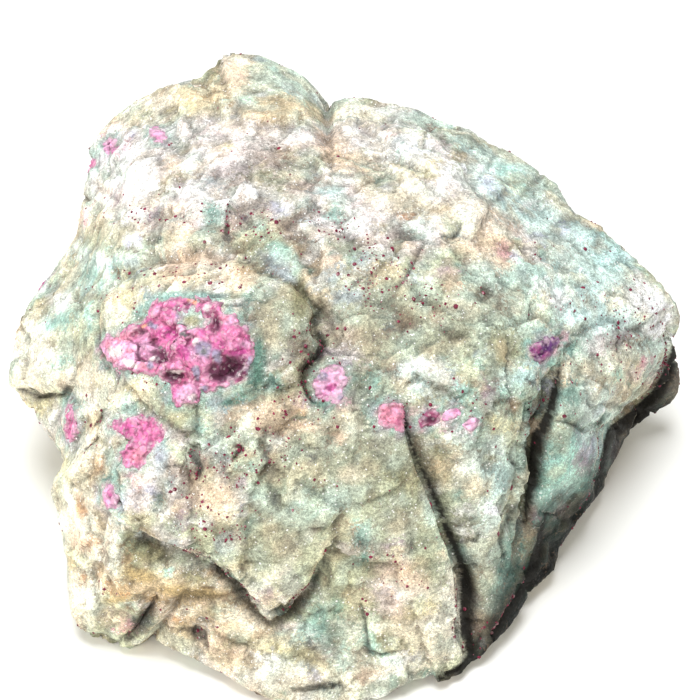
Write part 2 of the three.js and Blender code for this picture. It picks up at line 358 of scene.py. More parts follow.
crackLines = {
    "bossCliff": {
        "drop": 1.4, "reach": 16, "dark": 0.8, "roll": (9, 0.7),
        "line": [
            (298, 288, 0.6), (309, 299, 1.2), (316, 310, 2), (314, 330, 2.4), (322, 343, 2.6),
            (318, 354, 3.4), (301, 370, 3.6), (303, 384, 1.6), (307, 396, 0.8), (312, 402, 0.4),
        ],
    },
    "frontCrack": {
        "drop": 1.8, "reach": 18, "dark": 1, "roll": (11, 0.8),
        "line": [
            (403, 410, 0.6), (405, 420, 1.2), (407, 432, 1.4), (412, 446, 1.4), (420, 466, 1.6),
            (430, 488, 2.2), (440, 512, 2.6), (445, 528, 3), (453, 546, 3), (460, 564, 3.6),
            (464, 580, 4.6), (465, 596, 6), (464, 616, 6), (464, 634, 5), (468, 645, 4), (470, 656, 3.4),
        ],
    },
    "bigGroove": {
        "drop": 0.8, "reach": 14, "dark": 1, "roll": (36, 2.6),
        "line": [
            (558, 371, 1.2), (555, 382, 3.2), (552, 398, 3.6), (548, 412, 3.6), (542, 426, 5),
            (535, 438, 5.5), (533, 455, 5), (531, 475, 5), (528, 492, 4), (525, 508, 3), (523, 524, 1.6),
        ],
    },
    "rightCrack": {
        "drop": 1.4, "reach": 18, "dark": 1, "roll": (9, 0.8),
        "line": [
            (673, 334, 1.6), (675, 345, 3.4), (672, 358, 4), (663, 378, 4), (656, 392, 5), (645, 405, 7),
            (634, 416, 8), (620, 424, 6), (610, 430, 4.5), (606, 442, 3.2), (603, 456, 3), (600, 470, 2.6),
            (595, 482, 1.6),
        ],
    },
    "overhangTip": {
        "drop": 1.8, "reach": 22, "dark": 0.8,
        "line": [
            (328, 550, 0.8), (320, 566, 1.4), (312, 586, 2.4), (302, 597, 4), (289, 608, 5), (277, 619, 4),
            (268, 622, 2), (258, 613, 2), (250, 603, 3), (243, 591, 4), (235, 581, 4), (224, 573, 3),
        ],
    },
    "overhangLeft": {
        "drop": 1.3, "reach": 26, "dark": 0.4,
        "line": [
            (224, 573, 2), (206, 564, 2.4), (190, 554, 2), (175, 548, 2), (160, 545, 2), (145, 538, 2),
            (128, 528, 1),
        ],
    },
    "earFoot": {
        "drop": 1, "reach": 12, "dark": 0.8,
        "line": [
            (68, 386, 1), (62, 395, 1.6), (50, 394, 2), (38, 397, 2.4), (30, 392, 1.6), (20, 388, 0.8),
        ],
    },
    "bossLeft": {
        "drop": 1.2, "reach": 14, "dark": 0.3,
        "line": [
            (106, 368, 0.8), (99, 345, 1.4), (97, 325, 1.6), (99, 303, 1.6), (108, 290, 1.4), (118, 281, 1),
        ],
    },
    "bossBack": {
        "drop": 0.9, "reach": 22, "dark": 0.25,
        "line": [
            (118, 281, 0.8), (140, 266, 1), (165, 257, 1.2), (200, 253, 1.4), (225, 257, 1.4),
            (245, 265, 1.4), (262, 274, 1.4), (282, 280, 1.2), (298, 288, 1),
        ],
    },
    "plateauStep": {
        "drop": 1, "reach": 22, "dark": 0.25,
        "line": [
            (440, 140, 1), (455, 152, 2), (465, 168, 2), (472, 188, 1.2), (482, 203, 1.2), (500, 224, 1),
            (516, 242, 1), (532, 262, 0.8),
        ],
    },
    "endSeam": {
        "drop": 0.5, "reach": 12, "dark": 0.55,
        "line": [
            (541, 424, 1.2), (552, 421, 0.9), (566, 423, 0.8), (577, 427, 1), (584, 434, 1),
            (593, 427, 0.8), (602, 423, 0.8),
        ],
    },
    "lowerRight": {
        "drop": 0.5, "reach": 14, "dark": 0.6,
        "line": [(542, 515, 1), (550, 515, 1.4), (558, 515, 1.2), (566, 508, 1), (576, 496, 1)],
    },
    "undercut": {
        "drop": 0.8, "reach": 12, "dark": 0.95,
        "line": [
            (545, 514, 1.2), (540, 528, 2), (538, 542, 2.6), (533, 558, 4), (528, 576, 4), (518, 594, 3),
            (506, 614, 2.4), (492, 634, 2),
        ],
    },
    "chipLoop": {
        "drop": 0.5, "reach": 8, "dark": 0.7,
        "line": [
            (528, 452, 0.8), (524, 445, 1), (517, 443, 1.2), (511, 448, 1.4), (509, 456, 1.4),
            (512, 463, 1.2), (517, 467, 0.8),
        ],
    },
    "curvedChip": {
        "drop": 0.4, "reach": 7, "dark": 0.7,
        "line": [(443, 236, 0.8), (448, 239, 1.2), (454, 238, 1.4), (459, 233, 1.2), (461, 227, 0.8)],
    },
    "topCrack": {
        "drop": 0.2, "reach": 7, "dark": 0.5,
        "line": [
            (399, 287, 0.9), (405, 280, 1.5), (410, 271, 1.2), (415, 262, 1.1), (420, 250, 1),
            (426, 243, 0.8),
        ],
    },
    "slotCrack": {
        "drop": 0.5, "reach": 8, "dark": 0.6,
        "line": [(229, 203, 0.6), (228, 211, 1.2), (226, 222, 1.2), (225, 232, 1.4), (227, 238, 0.8)],
    },
    "creviceHole": {
        "drop": 0.6, "reach": 9, "dark": 0.7,
        "line": [(194, 444, 0.6), (190, 453, 1.4), (193, 460, 1.8), (199, 466, 2), (197, 476, 1.2)],
    },
    "frontPit": {
        "drop": 0.5, "reach": 9, "dark": 0.3,
        "line": [(268, 484, 1), (272, 494, 3), (277, 503, 4), (286, 508, 2)],
    },
    "smallPit": {
        "drop": 0.4, "reach": 6, "dark": 0.9,
        "line": [(236, 446, 1.6), (240, 449, 2), (234, 457, 1)],
    },
    "farBase": {
        "drop": 0.5, "reach": 8, "dark": 0.8,
        "line": [(480, 636, 1), (476, 645, 1.6), (474, 656, 1.6)],
    },
    "stepShade": {
        "drop": 0.5, "reach": 14, "dark": 0.15,
        "line": [(128, 530, 1), (120, 548, 1.4), (113, 565, 1.6), (108, 580, 1.4), (105, 600, 1)],
    },
    "footHollow": {
        "drop": 1, "reach": 12, "dark": 0.8,
        "line": [(152, 604, 2), (146, 614, 5), (138, 626, 5), (131, 634, 3), (120, 640, 1)],
    },
    "footStep": {
        "drop": 0.45, "reach": 12, "dark": 0.3,
        "line": [
            (258, 606, 1), (240, 600, 1.5), (220, 596, 2), (196, 596, 2), (176, 600, 1.5), (158, 603, 1.5),
        ],
    },
    "footDark": {
        "drop": 0.5, "reach": 10, "dark": 0.6,
        "line": [(208, 646, 1.5), (204, 634, 4), (196, 630, 4), (184, 628, 1.5)],
    },
    "footLine": {
        "drop": 0.4, "reach": 9, "dark": 0.6,
        "line": [(340, 684, 1.6), (320, 686, 2.4), (293, 689, 1)],
    },
    "slabSeam": {
        "drop": 0.6, "reach": 9, "dark": 0.6,
        "line": [
            (396, 651, 0.6), (382, 654, 1.2), (370, 652, 1), (368, 640, 1.3), (366, 622, 1),
            (362, 606, 0.6),
        ],
    },
    "baseShadow": {
        "drop": 1, "reach": 10, "dark": 1,
        "line": [(470, 654, 3), (465, 663, 3), (455, 669, 2.6), (446, 673, 2.4), (436, 677, 2)],
    },
    "leftCrackUpper": {
        "drop": 0.4, "reach": 6, "dark": 0.8,
        "line": [(103, 409, 0.8), (101, 417, 1.4), (95, 424, 0.8)],
    },
    "leftCrackLower": {
        "drop": 0.4, "reach": 6, "dark": 0.8,
        "line": [(98, 436, 0.8), (92, 445, 1.4), (85, 449, 1)],
    },
    "slabNick": {
        "drop": 0.35, "reach": 6, "dark": 0.75,
        "line": [(454, 539, 1), (459, 542, 0.9), (467, 541, 0.8), (477, 542, 1), (480, 536, 0.8)],
    },
    "flankCrack": {
        "drop": 0.7, "reach": 9, "dark": 0.75,
        "line": [(517, 504, 0.8), (509, 514, 1.2), (502, 526, 1.6), (499, 540, 1.4), (503, 556, 1)],
    },
    "midCreaseLeft": {
        "drop": 0.4, "reach": 9, "dark": 0.15,
        "line": [
            (348, 298, 0.8), (378, 304, 1), (408, 315, 1.2), (434, 326, 1.2), (455, 338, 1),
            (480, 350, 0.8),
        ],
    },
    "midCreaseRight": {
        "drop": 0.3, "reach": 7, "dark": 0.25,
        "line": [(482, 352, 0.7), (492, 361, 1), (503, 370, 0.8)],
    },
    "bossSeam": {
        "drop": 0.2, "reach": 6, "dark": 0.25,
        "line": [(268, 347, 0.8), (276, 341, 1), (285, 335, 0.8)],
    },
    "headBlock": {
        "drop": 0.2, "reach": 8, "dark": 0.15,
        "line": [(372, 128, 1), (362, 138, 1), (350, 138, 1.2), (338, 130, 1)],
    },
}

# Swells and dents: [across, down, half width, half height in pixels, height in mm]
swells = [
    (130, 168, 34, 24, 0.9), (190, 189, 18, 10, 0.8), (246, 190, 14, 9, 0.6), (256, 214, 12, 9, 0.6),
    (273, 167, 13, 10, 0.5), (275, 149, 16, 6, -0.8), (310, 207, 11, 11, 0.9), (291, 224, 10, 9, -1.0),
    (288, 243, 8, 7, -0.9), (312, 226, 9, 6, 0.5), (330, 196, 13, 10, 0.6), (345, 108, 16, 10, 0.6),
    (352, 130, 12, 8, 0.7), (183, 149, 10, 9, -0.6), (165, 189, 9, 10, -0.7), (160, 215, 13, 8, -0.7),
    (213, 217, 12, 14, -0.5), (236, 245, 13, 9, -1.0), (152, 240, 14, 8, -0.8), (133, 245, 12, 9, 0.6),
    (100, 262, 20, 16, 0.6), (92, 285, 14, 9, 0.6), (285, 318, 26, 26, 1.2), (172, 276, 34, 12, 0.7),
    (112, 312, 14, 22, 0.6), (325, 330, 12, 14, -0.8), (428, 374, 28, 17, 0.8), (402, 322, 20, 9, -0.9),
    (486, 292, 10, 10, -0.8), (492, 275, 16, 8, 0.6), (447, 231, 12, 7, 0.5), (404, 234, 16, 9, -0.7),
    (370, 176, 24, 9, -0.7), (420, 168, 38, 16, 0.7), (356, 195, 10, 5, -0.5), (438, 322, 16, 8, 0.5),
    (188, 486, 14, 20, -1.2), (212, 462, 13, 11, -0.6), (220, 500, 24, 22, 1.0), (266, 412, 26, 16, 0.6),
    (161, 500, 9, 12, -0.6), (150, 468, 12, 16, 0.5), (283, 435, 20, 9, -0.5), (330, 430, 22, 16, 0.4),
    (280, 580, 22, 24, 0.5), (410, 590, 34, 40, 0.7), (362, 545, 12, 18, -0.4), (165, 613, 14, 9, 0.8),
    (120, 622, 12, 7, 0.5), (150, 560, 22, 14, -0.6), (135, 590, 22, 7, 0.5), (226, 587, 12, 5, 0.5),
    (205, 610, 24, 8, 0.5), (192, 584, 12, 10, 0.4), (300, 640, 16, 22, -0.6), (280, 668, 30, 14, 0.6),
    (640, 335, 18, 16, -0.3), (648, 362, 12, 8, 0.6), (566, 450, 22, 40, 0.5), (535, 528, 9, 26, 0.6),
    (616, 446, 8, 22, 0.6), (668, 378, 9, 18, 0.6), (462, 208, 20, 10, 0.5), (60, 350, 26, 26, 0.5),
    (40, 372, 20, 18, 0.5), (520, 190, 26, 20, 0.5), (495, 240, 16, 22, 0.5), (350, 345, 20, 16, -0.4),
]

# Where the break is smoother than elsewhere: an ellipse, with its turn where it has one, and the share of
# the roughness that is left
smoothPlaces = [
    (400, 500, 62, 85, -15, 0.3), (568, 450, 30, 60, 10, 0.25), (290, 560, 50, 45, 0.4),
    (60, 400, 50, 60, 0.6), (400, 610, 50, 60, -20, 0.45), (520, 500, 14, 80, 4, 0.15),
    (500, 580, 16, 60, 14, 0.4), (480, 470, 45, 60, 0.6), (270, 80, 62, 34, 15, 0.5),
    (520, 190, 60, 40, 35, 0.6), (75, 550, 24, 70, 0.6), (285, 315, 30, 30, 0.6), (345, 620, 30, 40, 0.45),
    (600, 265, 50, 26, 42, 0.7), (50, 345, 30, 40, 0.7),
]

roughness = {  # sizes and heights in mm
    "ledges": {  # the mica's layers, on the sides
        "spacing": 7, "height": 0.9,
        "up": (0.22, -0.35, 0.9),  # the way through them
        "bend": 0.8, "bendSize": 20,  # how far they bend, as a share of the spacing, and over how many mm
        "tread": 0.8,  # share of each that slopes gently
    },
    "broadSwell": {"size": 16, "height": 0.5, "hiddenHeight": 1.6},
    "chips": [  # broken faces: how far each is tilted and stepped, and the crease between them
        {"size": 9, "tilt": 0.18, "step": 0.2, "crease": 0.03, "creaseWidth": 0.8, "seed": 11},
        {"size": 4.2, "tilt": 0.1, "step": 0.06, "crease": 0.02, "creaseWidth": 0.6, "seed": 23},
        {"size": 2.2, "tilt": 0.07, "step": 0.03, "crease": 0.015, "creaseWidth": 0.5, "seed": 37},
    ],
    "warp": 0.25,  # share of a chip's size by which its borders wander
    "grain": {"size": 1.3, "height": 0.05},
}

crackShape = {
    "farthest": 60,  # pixels from a crack where it no longer counts
    "sideBlend": 1.5,  # pixels on each side over which the upper side turns into the lower
    "refineFrom": 0.35,  # cracks darker than this get a finer mesh
    "refineFacing": -0.1,
    "grooveEdge": 0.8,  # pixels that a groove is wider than the dark line on each side
    "grooveDepth": (0.3, 0.2),  # mm, and mm more for each pixel of half width
    "paleGroove": 0.3,  # share of that depth where a crack has no dark
}


def refineNearLines(mesh, margin):
    bm = bmesh.new()
    bm.from_mesh(mesh)
    points = pointsOf(mesh)
    across, down = pixelsOf(points)
    normals = movePoints(mesh, points)
    near = np.zeros(len(points), dtype=bool)
    for crack in crackLines.values():
        if crack["dark"] > crackShape["refineFrom"]:
            distance, _, width = nearLine(across, down, crack["line"], crackShape["farthest"])
            near |= distance < width + margin
    near &= facingEye(points, normals) > crackShape["refineFacing"]
    bm.verts.ensure_lookup_table()
    edges = [edge for edge in bm.edges if near[edge.verts[0].index] and near[edge.verts[1].index]]
    bmesh.ops.subdivide_edges(bm, edges=edges, cuts=1, use_grid_fill=True)
    bm.to_mesh(mesh)
    bm.free()


# Distance from a crack, its half width there, and 0 to 1 from its upper to its lower side
def nearCrack(across, down, crack):
    distance, side, width = nearLine(across, down, crack["line"], crackShape["farthest"])
    blend = crackShape["sideBlend"]
    return distance, width, smoothstep(-blend, blend, side * distance)


def lineRelief(across, down):
    height = np.zeros(len(across))
    depth, depthPerPixel = crackShape["grooveDepth"]
    pale = crackShape["paleGroove"]
    for crack in crackLines.values():
        distance, width, lower = nearCrack(across, down, crack)
        step = lower * np.clip(1 - distance / crack["reach"], 0, 1) ** 1.5
        groove = np.exp(-((distance / (width + crackShape["grooveEdge"])) ** 2))
        groove *= (depth + depthPerPixel * width) * (pale + (1 - pale) * crack["dark"])
        rollReach, rollDrop = crack.get("roll", (1, 0))
        roll = (1 - lower) * np.clip(1 - distance / rollReach, 0, 1) ** 2
        height -= step * (crack["drop"] + rollDrop) + roll * rollDrop + groove
    return height * millimetre


def roughRelief(points, seen, hidden):
    swell = roughness["broadSwell"]
    broad = layeredNoise(points, swell["size"] * millimetre, 2, 3)
    height = broad * (swell["height"] + (swell["hiddenHeight"] - swell["height"]) * (1 - seen)) * millimetre
    ledges = roughness["ledges"]
    up = np.array(ledges["up"])
    layer = points @ (up / np.linalg.norm(up)) / (ledges["spacing"] * millimetre)
    layer += ledges["bend"] * layeredNoise(points, ledges["bendSize"] * millimetre, 3, 71)
    part = layer - np.floor(layer)
    tread = ledges["tread"]
    profile = np.where(part < tread, part / tread, (1 - part) / (1 - tread)) - 0.5
    height += profile * ledges["height"] * hidden * millimetre
    for chip in roughness["chips"]:
        size = chip["size"] * millimetre
        warped = points + roughness["warp"] * size * noiseVector(points, size, chip["seed"])
        fromMiddle, draws, border = chipsOf(warped, size, chip["seed"])
        crease = np.exp(-border / (chip["creaseWidth"] * millimetre)) * chip["crease"] * millimetre
        tilted = np.sum(fromMiddle * draws, axis=1) * chip["tilt"]
        height += tilted + draws[:, 0] * chip["step"] * millimetre - crease
    grain = roughness["grain"]
    height += layeredNoise(points, grain["size"] * millimetre, 2, 5) * grain["height"] * millimetre
    return height


def smoothness(across, down, seen):
    keep = np.ones(len(across))
    for *place, share in smoothPlaces:
        keep *= 1 - (1 - share) * (1 - smoothstep(0.7, 1.1, spread(across, down, place)))
    return 1 - (1 - keep) * seen


def broken(mesh):
    points = relaxed(pointsOf(mesh), edgesOf(mesh), lumpShape["softenRounds"])
    movePoints(mesh, matchOutline(points))
    for margin in lumpShape["refineMargins"]:
        refineNearLines(mesh, margin)
    points = pointsOf(mesh)
    normals = movePoints(mesh, points)
    rests = (points[:, 2] < lumpShape["restHeight"]) & (normals[:, 2] < -0.6)
    edges = edgesOf(mesh)
    normals = relaxed(normals, edges, lumpShape["normalRounds"])
    normals /= np.linalg.norm(normals, axis=1)[:, None]
    seen = smoothstep(0.0, 0.25, facingEye(points, normals))
    across, down = pixelsOf(points)
    height = (lineRelief(across, down) + bulges(across, down, swells) * millimetre) * seen
    points = relaxed(points + normals * height[:, None], edges, 1)
    normals = relaxed(movePoints(mesh, points), edges, 2)
    facing = facingEye(points, normals)
    rough = roughRelief(points, seen, smoothstep(0.0, -0.3, facing)) * smoothness(across, down, seen)
    rim = 1 - 0.65 * np.exp(-((facing / 0.25) ** 2))  # a calmer outline
    points = points + normals * (rough * rim)[:, None]
    low = smoothstep(*lumpShape["footHeights"], points[:, 2]) * (points[:, 2] > 0)
    points += low[:, None] * (relaxed(points, edges, lumpShape["footRounds"]) - points)  # no thin lips there
    points = matchOutline(points)
    points[rests, 2] = 0
    points[:, 2] = np.maximum(points[:, 2], 0)
    movePoints(mesh, points)


# Colours, as sRGB hex

hexColours = {
    "white": "fbf8f1", "pinkWhite": "f4e4df", "cream": "efe5c8", "yellowCream": "e8dba9", "peach": "ecccae",
    "tan": "d6bf9b", "sage": "bfc2a2", "greySage": "a6a790", "olive": "908a67", "mint": "cadccb",
    "aqua": "a6d3c4", "paleAqua": "cae6df", "teal": "84ad9f", "deepTeal": "567d6c", "blueGrey": "a9b3b5",
    "lilacWhite": "dadaee", "taupe": "a69689", "brown": "826b58", "slate": "6c6c6b", "rust": "c48a58",
    "mauveGrey": "a48e96", "burgundy": "7a1d39", "pinkStain": "e2a2ae", "nearBlack": "1d1b17",
    "hotPink": "c96d95", "paleRuby": "dca3c0", "magenta": "b04080", "plum": "4f1f38", "mauve": "8a3f5c",
    "lilac": "8f899f", "salmon": "cf7f93", "paleCream": "f8f0dc", "paleMint": "e2efe4",
    "warmBrown": "a98a63", "ochre": "b8a070", "haloTeal": "8aaca1", "dustyPink": "cf9bb5",
    "blushRuby": "eeb0d0", "violetPlum": "5c3068", "micaOnRuby": "b39aa2", "haloGrey": "9a9aa2",
    "orange": "dd9a78",
}


def linearColour(name):  # a name from the table above, or a hex code
    code = hexColours.get(name, name)
    parts = np.array([int(code[i:i + 2], 16) / 255 for i in (0, 2, 4)])
    return np.where(parts <= 0.04045, parts / 12.92, ((parts + 0.055) / 1.055) ** 2.4)


def rgba(name):
    return (*linearColour(name), 1)


def blendTowards(colours, name, share):
    return colours + share[:, None] * (linearColour(name) - colours)


def layPatches(colours, across, down, patches, fade, strength):  # fade is where a patch starts to, and ends
    for name, places in patches:
        share = np.max([1 - smoothstep(*fade, spread(across, down, place)) for place in places], axis=0)
        colours = blendTowards(colours, name, strength * share)
    return colours


# Patches of the break by mineral colour, broad ones first: [across, down, half width, half height] and the
# turn where it has one. The darker colours, such as slate, taupe and deep teal, are in part painted shade.
broadPatches = [
    ("pinkWhite", [
        (135, 170, 56, 46, -25), (240, 145, 100, 34), (345, 150, 55, 36, 10), (340, 215, 80, 34, 10),
        (215, 200, 70, 30), (440, 195, 50, 45, 30),
    ]),
    ("white", [(122, 165, 32, 28, -20), (190, 188, 18, 10), (420, 150, 40, 22, 15), (255, 198, 34, 14)]),
    ("cream", [
        (110, 225, 34, 28), (118, 305, 20, 30), (75, 470, 34, 75, 8), (88, 570, 28, 60), (330, 680, 70, 26),
        (100, 390, 34, 30), (360, 112, 40, 14, 5), (430, 185, 44, 30, 20), (640, 305, 40, 34, 30),
        (265, 650, 60, 26, 22), (30, 370, 22, 30), (620, 370, 40, 30), (340, 425, 26, 22),
    ]),
    ("tan", [(190, 100, 66, 17, -18), (270, 112, 56, 13, 3), (180, 590, 70, 14, 5), (350, 160, 34, 14)]),
    ("peach", [
        (235, 71, 15, 17), (212, 268, 62, 17, 8), (265, 415, 52, 26), (220, 500, 26, 27),
        (408, 595, 34, 46, -35), (490, 238, 26, 34, 20), (330, 150, 20, 16), (220, 625, 50, 18, 10),
    ]),
    ("sage", [
        (52, 345, 36, 46), (286, 318, 30, 34), (400, 470, 54, 46), (305, 480, 46, 44), (285, 550, 52, 40),
        (410, 525, 48, 36, 30), (345, 600, 40, 44), (430, 300, 90, 40, 18), (365, 340, 60, 36),
        (440, 600, 24, 60), (120, 625, 40, 16, 10),
    ]),
    ("mint", [
        (72, 312, 26, 34), (520, 188, 70, 34, 34), (505, 300, 50, 46, 30), (485, 470, 42, 66, -8),
        (600, 275, 60, 28, 40), (590, 330, 55, 40), (300, 76, 40, 22, 30), (490, 560, 26, 50),
        (565, 396, 30, 22), (590, 415, 30, 16), (545, 500, 22, 18),
    ]),
    ("aqua", [(98, 272, 22, 20), (608, 252, 34, 20, 42), (562, 462, 26, 50, 8), (212, 216, 12, 14)]),
    ("olive", [
        (150, 556, 26, 24), (412, 470, 20, 30), (505, 345, 28, 22), (205, 590, 50, 14, 10),
        (300, 300, 12, 30), (325, 345, 14, 22), (300, 372, 16, 16), (408, 324, 34, 14, 12),
        (440, 466, 12, 24),
    ]),
    ("greySage", [
        (276, 320, 30, 46), (84, 318, 22, 30), (350, 290, 34, 22), (395, 300, 40, 20, 10),
        (252, 385, 22, 26), (355, 440, 30, 22), (395, 450, 30, 30), (430, 330, 60, 20, 15),
        (345, 480, 40, 24), (480, 420, 24, 20), (285, 205, 36, 16), (492, 305, 18, 20), (240, 440, 30, 16),
        (470, 520, 14, 30),
    ]),
    ("yellowCream", [
        (30, 400, 30, 14), (72, 480, 22, 50), (90, 560, 24, 40), (410, 655, 44, 16, -15),
        (290, 660, 40, 20, 20),
    ]),
    ("paleCream", [
        (84, 450, 24, 30), (76, 520, 22, 66), (84, 590, 26, 40), (32, 350, 26, 42), (645, 310, 34, 32, 30),
        (30, 388, 26, 14), (428, 616, 26, 30, -30), (405, 662, 44, 14, -15), (270, 680, 54, 20, 20),
        (112, 548, 12, 36), (448, 600, 14, 34), (150, 108, 30, 18, -25), (460, 215, 30, 24, 20),
        (252, 595, 14, 14),
    ]),
    ("white", [(112, 172, 38, 40, -20), (275, 205, 20, 12), (60, 300, 14, 14), (390, 112, 40, 8, 10)]),
    ("paleMint", [
        (500, 182, 54, 26, 35), (560, 232, 44, 26, 35), (595, 300, 50, 34, 30), (598, 404, 26, 28),
        (500, 440, 20, 16), (435, 390, 34, 12), (86, 252, 16, 16), (490, 515, 12, 26),
        (660, 358, 16, 26, 10),
    ]),
    ("tan", [(170, 590, 64, 18, 5), (235, 625, 50, 14, 8)]),
    ("greySage", [
        (316, 340, 22, 40), (380, 350, 44, 24, 10), (320, 440, 36, 30), (380, 388, 26, 20),
        (360, 305, 36, 22, 10),
    ]),
    ("paleAqua", [
        (590, 300, 70, 36, 32), (650, 320, 26, 34), (600, 450, 20, 40, 10), (535, 375, 40, 14),
        (520, 200, 50, 16, 35), (470, 140, 30, 10, 25), (600, 250, 40, 16, 40),
    ]),
    # deep teal and teal on the lower right flank: mineral colour and in part painted shade
    ("deepTeal", [(576, 520, 34, 40, 35), (520, 595, 30, 46, 28)]),
    ("teal", [(512, 560, 14, 40, 8), (548, 520, 16, 30, 20), (585, 470, 20, 30, 20)]),
    ("tan", [(180, 640, 40, 16, 15), (240, 662, 30, 10, 15)]),
    ("paleCream", [(455, 600, 12, 50), (446, 650, 26, 12, -20)]),
    ("paleCream", [(96, 550, 20, 50), (230, 590, 40, 8, 10), (250, 615, 30, 14, 10), (170, 612, 30, 8)]),
]
